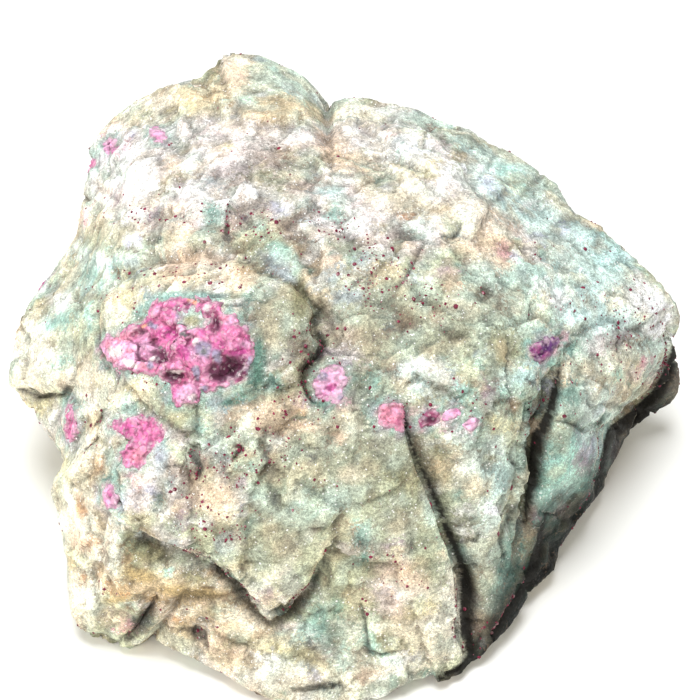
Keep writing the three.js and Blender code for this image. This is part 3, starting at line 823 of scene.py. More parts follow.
finePatches = [
    ("white", [
        (425, 372, 26, 18), (395, 140, 34, 20), (130, 215, 22, 10), (245, 190, 16, 8), (360, 226, 16, 9),
        (640, 280, 14, 9, 40), (352, 130, 12, 7), (455, 178, 20, 12, 40), (536, 206, 18, 5, -4),
        (464, 508, 14, 6, -10), (468, 530, 12, 8), (240, 512, 3.5, 14, 10), (118, 300, 8, 12),
        (157, 465, 7, 16, 10), (150, 187, 14, 12), (560, 300, 12, 14), (545, 285, 10, 8),
        (455, 432, 20, 5, 12), (90, 400, 10, 8), (300, 205, 14, 10), (492, 508, 12, 5),
        (400, 660, 26, 7, -14), (268, 662, 20, 8, 18),
    ]),
    ("pinkWhite", [
        (230, 165, 22, 12), (120, 190, 20, 10), (440, 185, 20, 18), (345, 355, 22, 12, 10),
        (600, 340, 16, 12), (560, 510, 10, 8), (150, 605, 12, 6), (180, 190, 10, 8), (445, 150, 24, 8, 20),
        (180, 438, 16, 9), (135, 500, 10, 12), (388, 600, 14, 22, -30), (640, 372, 12, 7),
    ]),
    ("cream", [
        (140, 385, 16, 12), (70, 280, 14, 18, 30), (55, 262, 12, 16, 40), (615, 300, 22, 12, 20),
        (655, 300, 14, 16), (475, 485, 12, 10), (350, 430, 16, 12), (350, 475, 14, 8),
        (560, 375, 18, 6, -8), (440, 655, 20, 9, -20), (405, 628, 22, 9, -10), (100, 610, 24, 12, 10),
        (420, 205, 16, 8), (405, 385, 12, 7), (245, 60, 14, 6), (275, 345, 14, 8, -20), (356, 630, 10, 20),
        (355, 668, 12, 14), (192, 584, 10, 8), (288, 645, 8, 6),
    ]),
    ("yellowCream", [
        (75, 558, 16, 10), (125, 300, 12, 14), (430, 172, 16, 8), (135, 388, 12, 8), (60, 470, 12, 14),
        (650, 310, 8, 6), (285, 650, 8, 6), (185, 108, 14, 6), (225, 145, 8, 5), (120, 272, 10, 5),
        (528, 358, 8, 10), (500, 425, 16, 10), (420, 610, 24, 10, -20), (108, 600, 12, 10),
    ]),
    ("peach", [
        (175, 164, 12, 8), (118, 270, 8, 3, -20), (336, 436, 12, 8), (300, 425, 26, 8), (450, 288, 8, 8),
        (502, 262, 12, 14), (166, 614, 12, 7), (76, 508, 9, 16), (428, 646, 12, 6, -20),
        (548, 372, 12, 4, -10), (80, 540, 16, 14), (230, 650, 22, 8, 10), (185, 275, 20, 8),
        (245, 285, 10, 7), (338, 410, 10, 5), (365, 680, 16, 7, -10), (226, 587, 9, 4), (392, 575, 10, 10),
    ]),
    ("tan", [
        (155, 238, 16, 7), (440, 210, 18, 7), (120, 588, 22, 7), (390, 265, 14, 9), (450, 450, 14, 10),
        (437, 466, 7, 7), (375, 280, 12, 8), (100, 130, 8, 6), (545, 300, 8, 12), (610, 380, 14, 8),
        (88, 425, 10, 14), (560, 380, 14, 5, -10), (530, 530, 9, 26), (484, 618, 10, 20),
        (240, 455, 14, 10), (280, 100, 20, 6), (100, 520, 8, 16), (448, 231, 9, 5), (208, 250, 14, 4),
        (380, 228, 8, 6),
    ]),
    ("sage", [
        (145, 112, 14, 10, -20), (250, 245, 14, 12), (86, 335, 12, 26), (112, 365, 10, 8),
        (240, 475, 10, 12), (430, 340, 20, 14), (455, 225, 14, 10), (350, 575, 12, 18), (95, 240, 14, 10),
        (310, 560, 14, 20), (428, 560, 16, 20), (270, 395, 14, 8), (516, 190, 20, 8, 30),
        (165, 655, 18, 7, 15), (512, 440, 10, 14),
    ]),
    ("greySage", [
        (183, 148, 11, 10), (165, 188, 7, 12), (213, 232, 14, 12), (282, 520, 26, 18), (272, 330, 16, 16),
        (262, 300, 14, 14), (300, 160, 18, 12), (370, 175, 22, 9), (475, 138, 26, 8, 25), (400, 165, 10, 5),
        (350, 250, 14, 8), (92, 345, 8, 18), (345, 385, 30, 20), (388, 520, 22, 18), (205, 515, 8, 10),
        (120, 640, 30, 6, 12), (430, 345, 14, 10), (268, 180, 20, 8), (500, 660, 10, 8), (480, 590, 14, 24),
    ]),
    ("mint", [
        (128, 176, 10, 5), (106, 176, 7, 9), (430, 512, 14, 14), (335, 500, 14, 18), (385, 662, 18, 8, -10),
        (345, 660, 8, 16), (420, 120, 20, 7, 15), (120, 95, 8, 6), (335, 208, 14, 12), (395, 130, 12, 4),
        (575, 282, 20, 8), (660, 360, 8, 12), (445, 395, 12, 9), (470, 440, 18, 7), (300, 500, 12, 16),
    ]),
    ("paleAqua", [
        (425, 378, 16, 10), (330, 192, 12, 8), (108, 262, 12, 8), (90, 288, 12, 6), (48, 322, 12, 8),
        (568, 448, 10, 20, 8), (624, 262, 14, 9, 45), (602, 240, 12, 7, 40), (560, 490, 18, 8),
        (500, 480, 14, 20), (578, 228, 10, 7, 30), (470, 560, 12, 16), (122, 520, 7, 7), (540, 412, 10, 6),
    ]),
    ("aqua", [
        (565, 458, 22, 42, 8), (60, 322, 14, 12), (60, 362, 10, 9), (462, 392, 12, 11), (362, 535, 10, 14),
        (166, 574, 9, 7), (400, 150, 8, 4), (620, 375, 9, 8), (550, 365, 12, 7, -20), (272, 382, 8, 12, 20),
        (566, 352, 8, 8), (145, 546, 10, 8), (512, 175, 24, 9, 35), (200, 425, 9, 6), (88, 320, 6, 14),
        (330, 215, 9, 6), (110, 480, 5, 6), (530, 345, 6, 6),
    ]),
    ("teal", [
        (564, 394, 20, 12), (548, 440, 8, 20, 8), (540, 480, 8, 20), (588, 490, 12, 20, 30),
        (516, 560, 12, 30, 10), (148, 305, 8, 11, 20), (172, 294, 22, 4), (245, 316, 10, 9, 40),
        (257, 368, 7, 24), (230, 400, 26, 9, -8), (168, 388, 6, 12), (428, 430, 13, 5, 10), (66, 398, 7, 7),
        (82, 402, 7, 6), (165, 442, 8, 9), (510, 570, 9, 22, 10), (362, 558, 9, 7), (115, 478, 5, 5),
        (125, 412, 14, 5, -5), (318, 620, 14, 22), (545, 328, 18, 5, -22), (572, 345, 6, 10),
        (280, 385, 8, 10, 30), (105, 365, 12, 5, 20), (460, 494, 9, 6), (300, 415, 10, 4), (208, 210, 7, 9),
        (372, 380, 8, 14), (250, 300, 7, 6),
    ]),
    # in part painted shade in hollows and on the lower right flank
    ("deepTeal", [
        (259, 380, 5, 14), (160, 500, 7, 8), (516, 575, 5, 16, 8), (250, 395, 8, 5), (136, 552, 8, 6),
        (600, 420, 10, 8, -30), (530, 600, 8, 20, 30), (362, 560, 5, 4), (340, 610, 8, 14),
        (560, 530, 10, 16, 20),
    ]),
    ("blueGrey", [
        (212, 182, 12, 6), (278, 262, 22, 10, 30), (345, 300, 22, 9, 10), (130, 262, 12, 6),
        (150, 296, 6, 5), (225, 405, 20, 6), (160, 480, 9, 16), (450, 375, 8, 10), (78, 425, 4, 14),
        (365, 262, 14, 10), (413, 279, 10, 8), (312, 226, 9, 6), (585, 440, 12, 18), (305, 672, 14, 7, 10),
        (140, 536, 10, 5), (335, 275, 8, 12), (555, 330, 10, 4), (120, 420, 8, 4), (390, 133, 14, 8),
        (550, 388, 8, 8), (500, 193, 12, 6), (205, 625, 14, 5, 10), (596, 410, 10, 5, -30),
    ]),
    ("lilacWhite", [
        (131, 240, 9, 9), (532, 236, 9, 5, 20), (566, 228, 8, 5), (120, 505, 7, 8), (148, 490, 9, 6),
        (128, 138, 7, 5), (275, 208, 14, 9), (547, 386, 5, 8), (590, 452, 10, 14, 20), (445, 425, 10, 3),
        (315, 678, 8, 5, 10), (490, 186, 9, 5), (510, 258, 7, 8), (100, 498, 5, 4), (68, 440, 5, 6),
    ]),
    # in part painted shade in the hollows
    ("taupe", [
        (272, 155, 24, 12), (232, 185, 14, 12), (300, 183, 18, 10), (255, 208, 24, 12), (302, 206, 16, 14),
        (325, 180, 12, 10), (158, 228, 14, 10), (420, 252, 16, 12), (300, 345, 10, 14), (612, 348, 16, 14),
        (276, 152, 17, 8), (400, 234, 16, 8, 10), (240, 215, 12, 14), (445, 275, 20, 8), (486, 390, 14, 16),
        (118, 455, 8, 14), (345, 335, 18, 12), (200, 460, 16, 14), (437, 134, 14, 5, 10),
        (488, 202, 12, 5, 10), (290, 590, 16, 14), (350, 405, 12, 9), (185, 490, 12, 18), (130, 145, 6, 8),
        (430, 250, 10, 12), (635, 340, 12, 14), (610, 350, 8, 14), (270, 435, 14, 6), (385, 570, 14, 7, 10),
        (535, 520, 6, 14), (230, 540, 14, 12), (180, 215, 10, 8), (400, 430, 14, 8, 30), (330, 325, 12, 14),
        (620, 450, 6, 18), (350, 172, 12, 6), (395, 370, 8, 12), (475, 600, 8, 14), (115, 615, 14, 8),
        (220, 470, 8, 10),
    ]),
    ("brown", [
        (284, 154, 8, 6), (290, 226, 12, 10), (300, 218, 8, 6), (405, 322, 18, 9, 12),
        (436, 316, 10, 6, 20), (486, 294, 9, 9), (190, 478, 9, 16), (138, 600, 18, 5), (220, 596, 30, 5, 5),
        (108, 556, 7, 22, 10), (152, 237, 9, 5), (185, 117, 6, 4), (240, 250, 10, 5), (635, 344, 8, 8),
        (416, 445, 9, 6), (275, 428, 7, 5), (400, 330, 10, 6), (130, 575, 9, 5), (360, 190, 6, 5),
        (500, 300, 6, 10), (300, 240, 6, 8), (440, 240, 5, 3), (474, 632, 7, 16), (205, 470, 6, 6),
        (570, 362, 10, 3, -10),
    ]),
    ("olive", [
        (457, 154, 10, 10, 40), (240, 640, 20, 6), (175, 178, 8, 4), (130, 538, 10, 8), (395, 475, 10, 16),
        (385, 265, 8, 6), (320, 162, 8, 8), (265, 172, 8, 6), (490, 458, 8, 6), (215, 612, 12, 5),
        (440, 450, 12, 7), (180, 560, 14, 6, 15), (350, 590, 6, 20), (230, 455, 8, 8), (250, 555, 10, 12),
    ]),
    # in part painted shade: in hollows, under the overhang and at the foot
    ("slate", [
        (310, 205, 11, 10), (276, 265, 16, 6, 35), (284, 276, 10, 5, 30), (213, 566, 30, 5, 22),
        (276, 498, 7, 9, 20), (160, 505, 5, 7), (140, 620, 12, 8, -45), (200, 632, 12, 6, 20),
        (228, 232, 6, 16), (365, 275, 8, 8), (170, 470, 5, 14), (535, 382, 8, 8), (665, 380, 12, 22),
        (312, 460, 3, 6), (388, 330, 8, 5), (325, 688, 22, 3, -5), (600, 500, 12, 16, -40),
        (176, 150, 4, 4), (300, 282, 6, 6),
    ]),
    ("mauveGrey", [
        (155, 213, 12, 8), (585, 462, 9, 14), (325, 352, 10, 6), (330, 378, 5, 14), (535, 512, 6, 12),
        (615, 452, 6, 16), (450, 270, 14, 5), (240, 480, 7, 8), (115, 198, 5, 5), (300, 400, 10, 6),
        (186, 520, 12, 14), (395, 550, 16, 6), (345, 360, 10, 5), (205, 350, 6, 6), (490, 395, 8, 8),
        (265, 600, 8, 8), (240, 222, 8, 8), (515, 660, 8, 5), (620, 335, 10, 8),
    ]),
    ("warmBrown", [
        (160, 597, 24, 6, 5), (115, 592, 16, 5), (215, 590, 22, 5, 8), (150, 610, 14, 5, -20),
        (245, 606, 10, 6, 20), (128, 560, 8, 16, 10), (205, 575, 14, 4, 20), (180, 620, 14, 5, 10),
        (100, 575, 8, 10), (225, 100, 16, 5, -10), (275, 118, 20, 5), (200, 92, 12, 4, -20),
        (245, 268, 14, 4, 10), (300, 412, 12, 5), (95, 470, 6, 14),
    ]),
    ("rust", [
        (78, 510, 6, 12), (428, 644, 6, 3, -50), (115, 270, 5, 2.5, -20), (118, 598, 10, 3),
        (172, 618, 5, 4), (95, 545, 10, 5, 20), (86, 580, 6, 8), (404, 212, 6, 4), (102, 470, 3, 8),
        (108, 585, 8, 4),
    ]),
    ("pinkStain", [
        (126, 625, 9, 6), (108, 140, 10, 6), (165, 136, 10, 5), (122, 148, 6, 5), (410, 415, 8, 8),
        (390, 131, 6, 4), (340, 395, 8, 5), (136, 478, 6, 12, 10), (112, 502, 8, 10), (646, 362, 7, 5),
        (88, 215, 6, 7), (120, 355, 20, 9), (110, 150, 6, 4), (500, 250, 8, 10), (440, 425, 10, 5),
    ]),
]

# Laid over the halos around the crystals
overHalos = [
    ("olive", [(192, 321, 10, 7), (300, 300, 10, 26)]),
    ("haloTeal", [(139, 312, 10, 8, -40), (190, 296, 46, 5), (228, 309, 10, 5, 35)]),
    ("blueGrey", [(186, 312, 7, 3, -20), (283, 274, 18, 6, 30), (161, 456, 9, 15)]),
    ("deepTeal", [(259, 362, 9, 30), (232, 402, 14, 5, -10), (318, 404, 10, 4, 10)]),
    ("ochre", [(190, 592, 40, 7, 5), (116, 600, 16, 4), (140, 575, 22, 9, 10)]),
    ("olive", [(150, 552, 22, 14, 15), (196, 578, 20, 5, 20)]),
    ("white", [(662, 318, 13, 18), (645, 300, 22, 16, 30), (656, 330, 16, 10)]),
    ("cream", [(222, 305, 6, 4), (37, 382, 9, 4), (420, 642, 16, 13)]),
    ("haloGrey", [(158, 456, 6, 7)]),
]

# Painted shade where the flanks turn under and over darker regions: an ellipse, with its turn where it has
# one, and the share of light lost, which is negative for painted light where the break is to look brighter
paintedShadePlaces = [
    (529, 455, 11, 46, 8, 0.65), (514, 520, 9, 34, 6, 0.3), (506, 578, 12, 40, 12, 0.3),
    (494, 628, 12, 30, 32, 0.65), (562, 532, 22, 30, 32, 0.5), (548, 568, 20, 30, 32, 0.5),
    (345, 385, 66, 36, 0.32), (245, 318, 34, 34, 0.2), (385, 315, 42, 34, 0.22), (455, 315, 34, 30, 0.2),
    (320, 310, 30, 30, 0.15), (250, 245, 60, 30, 0.22), (320, 245, 40, 30, 0.19), (385, 245, 36, 30, 0.16),
    (385, 455, 34, 30, 0.15), (315, 455, 30, 30, 0.14), (250, 175, 36, 28, 0.14),
    (410, 520, 54, 50, -15, 0.24), (385, 595, 34, 30, 0.16), (245, 390, 40, 30, 0.2),
    (540, 438, 9, 22, 12, 0.5), (566, 395, 20, 12, 0.25), (564, 430, 18, 24, 0.2), (275, 325, 28, 44, 0.15),
    (500, 640, 10, 24, 40, 0.7), (594, 466, 10, 22, 5, 0.4), (666, 376, 13, 28, 12, 0.45),
    (642, 402, 28, 9, -38, 0.6), (615, 452, 9, 24, 12, 0.4), (473, 592, 9, 44, 0.55),
    (474, 655, 10, 8, 0.45), (212, 570, 42, 6, 24, 0.25), (296, 608, 28, 9, -35, 0.5),
    (141, 619, 16, 9, -38, 0.4), (320, 345, 8, 12, 0.3), (304, 372, 8, 10, 0.4), (330, 640, 16, 26, 0.25),
    (540, 408, 10, 22, 10, 0.35), (192, 462, 8, 16, 0.3), (122, 545, 7, 18, 15, 0.15),
    (195, 630, 14, 8, 20, 0.2), (320, 686, 26, 5, -4, 0.4), (232, 232, 6, 18, 0.25),
    (572, 562, 10, 20, 30, 0.8), (540, 578, 16, 16, 35, 0.75), (518, 560, 10, 20, 20, -0.5),
    (500, 172, 44, 24, 42, -0.1), (455, 118, 34, 16, 30, -0.09), (58, 450, 22, 44, 5, -0.08),
    (85, 575, 26, 50, -0.06), (660, 325, 20, 24, -0.18), (440, 672, 40, 16, -25, -0.11),
    (25, 360, 12, 22, -0.06),
]

# Painted shade along a line: [across, down, pixels that it reaches], and the share of light lost on the line
paintedShadeLines = [
    (0.98, [
        (668, 404, 10), (645, 420, 18), (625, 440, 18), (606, 478, 16), (592, 503, 32), (578, 520, 46),
        (560, 547, 52), (545, 578, 52), (525, 602, 44), (503, 634, 36), (482, 656, 18), (462, 673, 10),
        (440, 682, 4),
    ]),
    (0.28, [(540, 470, 6), (536, 510, 10), (530, 545, 14), (520, 580, 16), (504, 612, 18), (488, 638, 18)]),
    (0.7, [(679, 368, 16), (678, 393, 16), (668, 404, 14)]),
]

paintwork = {
    "edgeBends": ((9, 8, 0), (5, 2.6, 1)),  # pixels that patch edges wander, mm of each bend, seed's shift
    "neighbourBend": 13,  # pixels between the two colours that neighbouring grains may take
    "patchFade": (0.4, 1.3),  # as shares of a patch's half width
    "patchStrength": 0.75,
    "overHaloFade": (0.5, 1.2),
    "overHaloStrength": 0.85,
    "hollows": ((3, 0.1), (30, 0.45)),  # rounds of evening out, and the mm that make a full hollow
    "hollowShade": 0.42,
    # how the painted shade's edges wander: pixels, mm of each bend, and seeds across and down
    "paintedShadeBends": ((5, 3, 560, 561),),
    "footShade": 0.4,  # share of light lost as painted shade at the foot of the hidden sides
    "footHeights": (8 * millimetre, 1 * millimetre),
    "tone": 0.92,
    "halo": 1.8,  # mm of greyish teal mica around each crystal
    "haloStrength": 0.8,
    "dust": 0.45,  # mm of pink dust right beside it
    "dustStrength": 0.6,
    "groundStrength": 0.65,
    "cloud": {"size": 4.2, "contrast": 0.512, "tint": 0.36},
}


# Colour of the hidden sides and the ground under the patches: the same minerals, laid by noise
def groundColours(points):
    colours = np.tile(linearColour("sage"), (len(points), 1))
    layers = [  # colour, size in mm, and the noise at which it starts and is full
        ("cream", 26, 0.05, 0.35), ("mint", 20, 0.08, 0.3), ("olive", 15, 0.22, 0.4),
        ("pinkWhite", 17, 0.2, 0.35), ("peach", 13, 0.28, 0.42), ("aqua", 12, 0.3, 0.45),
        ("greySage", 8, 0.25, 0.4), ("white", 9, 0.33, 0.42), ("taupe", 7, 0.3, 0.45),
        ("teal", 6, 0.38, 0.5), ("brown", 5, 0.42, 0.55), ("blueGrey", 6.5, 0.4, 0.5),
    ]
    for index, (name, size, low, high) in enumerate(layers):
        noise = layeredNoise(points, size * millimetre, 3, 200 + 7 * index)
        colours = blendTowards(colours, name, paintwork["groundStrength"] * smoothstep(low, high, noise))
    return colours


def paintPatches(colours, points, across, down, seen, wander, seed):
    bends = []
    for pixels, size, shift in paintwork["edgeBends"]:
        bends.append((pixels, size, seed + shift, seed + 10 + shift))
    bends.append((wander, 1.6, seed + 20, seed + 30))
    across, down = wandered(points, across, down, bends)
    strength = paintwork["patchStrength"] * seen
    return layPatches(colours, across, down, broadPatches + finePatches, paintwork["patchFade"], strength)


def paintHalos(colours, points, outside):
    kind = layeredNoise(points, 3 * millimetre, 2, 530)
    patchy = smoothstep(-1.2, -0.2, layeredNoise(points, 2.2 * millimetre, 2, 533))
    share = paintwork["haloStrength"] * np.exp(-((outside / paintwork["halo"]) ** 2)) * patchy
    colours = blendTowards(colours, "haloTeal", share * smoothstep(-0.25, 0.05, kind))
    colours = blendTowards(colours, "haloGrey", share * smoothstep(0.0, -0.3, kind))
    dust = paintwork["dustStrength"] * np.exp(-((outside / paintwork["dust"]) ** 2))
    dust *= smoothstep(-0.3, 0.3, layeredNoise(points, 0.9 * millimetre, 2, 536))
    return blendTowards(colours, "pinkStain", dust)


# Breaks up each patch: paler and darker clouds, warmer and cooler ones
def clouded(colours, points):
    cloud = paintwork["cloud"]
    size = cloud["size"] * millimetre
    warmth = layeredNoise(points, size * 1.3, 3, 545)
    colours = blendTowards(colours, "tan", cloud["tint"] * smoothstep(0.05, 0.5, warmth))
    colours = blendTowards(colours, "mint", cloud["tint"] * smoothstep(0.05, 0.5, -warmth))
    return colours * (1 + cloud["contrast"] * layeredNoise(points, size, 3, 540))[:, None]


# Painted shade in the cracks, reaching further on each crack's lower side
def paintedCrackShade(across, down, seen):
    dark = np.zeros(len(across))
    for crack in crackLines.values():
        distance, width, lower = nearCrack(across, down, crack)
        beyond = np.maximum(distance - width * (0.75 + 0.55 * lower) + 0.8, 0)
        fade = 0.9 + lower * (width * 0.8 + 0.7)
        dark = np.maximum(dark, crack["dark"] * np.exp(-((beyond / fade) ** 2)))
    return dark * seen


def storeColours(mesh, name, colours):
    layer = mesh.attributes.new(name, "FLOAT_COLOR", "POINT")
    opaque = np.ones((len(colours), 4), dtype=np.float32)
    opaque[:, :3] = np.clip(colours, 0, 1)
    layer.data.foreach_set("color", opaque.ravel())


# The colour's tone times the painted shade, and painted light where a loss is negative: the places, the
# lines and the foot
def toneAndPaintedShade(points, across, down, seen, turned):
    across, down = wandered(points, across, down, paintwork["paintedShadeBends"])
    shade = np.full(len(points), paintwork["tone"])
    for *place, loss in paintedShadePlaces:
        shade *= 1 - loss * seen * np.exp(-1.2 * spread(across, down, place) ** 2)
    for loss, line in paintedShadeLines:
        distance, _, reach = nearLine(across, down, line, crackShape["farthest"])
        shade *= 1 - loss * turned * np.clip(1 - distance / reach, 0, 1) ** 0.8
    foot = smoothstep(*paintwork["footHeights"], points[:, 2])
    return shade * (1 - paintwork["footShade"] * foot * (1 - turned))


def paintRock(mesh, outside):  # outside is the distance from the nearest crystal, in mm
    points = pointsOf(mesh)
    normals = movePoints(mesh, points)
    edges = edgesOf(mesh)
    across, down = pixelsOf(points)
    facing = facingEye(points, normals)
    seen = smoothstep(0.02, 0.18, facing)
    hollow = np.zeros(len(points))
    for rounds, depth in paintwork["hollows"]:
        below = np.sum((relaxed(points, edges, rounds) - points) * normals, axis=1)
        hollow += below / (depth * millimetre) / len(paintwork["hollows"])
    hollow = np.clip(hollow, -0.5, 1)
    # painted shade and light from the tables above, then painted shade in the hollows
    shade = toneAndPaintedShade(points, across, down, seen, smoothstep(-0.5, 0.05, facing))
    shade *= 1 - paintwork["hollowShade"] * hollow
    ground = groundColours(points)
    for name, wander, seed in (("mineralAndPaintedShade", 0, 400), ("neighbourMineralAndPaintedShade", paintwork["neighbourBend"], 480)):
        colours = clouded(paintPatches(ground, points, across, down, seen, wander, seed), points)
        colours = paintHalos(colours, points, outside)
        strength = paintwork["overHaloStrength"] * seen
        colours = layPatches(colours, across, down, overHalos, paintwork["overHaloFade"], strength)
        # the minerals' colours with the painted shade and painted light multiplied in
        storeColours(mesh, name, colours * shade[:, None])
    # painted shade in the cracks, the hollows, and the ruby specks' share
    marks = [paintedCrackShade(across, down, seen), hollow, speckShare(points, across, down, seen)]
    storeColours(mesh, "marks", np.stack(marks, axis=1))


# Ruby grains: [across, down, half width, half height, grains]
speckClusters = [
    (640, 310, 38, 32, 70), (610, 375, 40, 22, 60), (650, 362, 18, 10, 25), (620, 335, 16, 14, 26),
    (372, 272, 28, 24, 70), (400, 300, 40, 16, 40), (300, 400, 40, 28, 70), (250, 450, 40, 22, 60),
    (190, 500, 22, 40, 60), (225, 530, 28, 18, 36), (235, 475, 14, 12, 18), (300, 350, 14, 20, 26),
    (200, 275, 60, 16, 46), (120, 300, 22, 36, 30), (260, 225, 60, 20, 60), (165, 215, 30, 14, 26),
    (340, 222, 20, 14, 20), (100, 215, 22, 16, 18), (400, 570, 34, 24, 26), (365, 590, 8, 24, 10),
    (480, 620, 16, 30, 14), (330, 340, 24, 18, 26), (440, 400, 60, 24, 30), (570, 305, 24, 16, 16),
    (550, 250, 40, 20, 10), (500, 450, 40, 50, 18), (250, 130, 90, 24, 14), (90, 430, 40, 40, 20),
    (130, 380, 30, 16, 12), (200, 630, 70, 20, 12), (440, 310, 50, 20, 20), (120, 580, 30, 30, 8),
    (560, 400, 34, 16, 18), (300, 480, 60, 30, 16),
]


def speckShare(points, across, down, seen):
    drawn = np.zeros(len(points))
    for *place, count in speckClusters:
        density = min(1, 30 * count / (place[2] * place[3] * math.pi))
        drawn = np.maximum(drawn, density * (1 - smoothstep(0.7, 1.3, spread(across, down, place))))
    loose = smoothstep(0.0, 0.6, layeredNoise(points, 14 * millimetre, 2, 900))
    return drawn * seen + loose * (1 - seen)


# Materials

def addNode(tree, kind, settings, inputs):  # an input is a value or another node's output
    node = tree.nodes.new(kind)
    for name, value in settings.items():
        setattr(node, name, value)
    for name, value in inputs.items():
        if isinstance(value, bpy.types.NodeSocket):
            tree.links.new(value, node.inputs[name])
        else:
            node.inputs[name].default_value = value
    return node.outputs


def newMaterial(name, settings):
    material = bpy.data.materials.new(name)
    material.use_nodes = True
    tree = material.node_tree
    shader = tree.nodes["Principled BSDF"]
    for socket, value in settings.items():
        shader.inputs[socket].default_value = value
    return material, tree, shader


# In the nodes below, a Map Range's inputs 0 to 4 are the value, the range it comes from and the one it goes
# to. A Mix's inputs 0, 6 and 7 are the share and the two colours, and its output 2 is the colour.

rockFinish = {
    # size in mm, and how far each is shifted so that they don't line up
    "cells": {"grain": (0.5, 0), "flake": (0.24, 0.7), "speck": (0.9, 0.3)},
    # size in mm, and detail
    "noises": {"mottle": (2.2, 4), "fine": (0.2, 2), "vein": (7, 6), "dirt": (0.8, 3), "coarse": (1.1, 3)},
    "noiseRoughness": 0.6,
    # share of flakes given a painted white highlight and less roughness
    "glintShare": 0.018,
    "bumps": (("coarse", 0.7, 0.2), ("grain", 0.7, 0.12), ("fine", 0.5, 0.08)),  # strength and height in mm
}


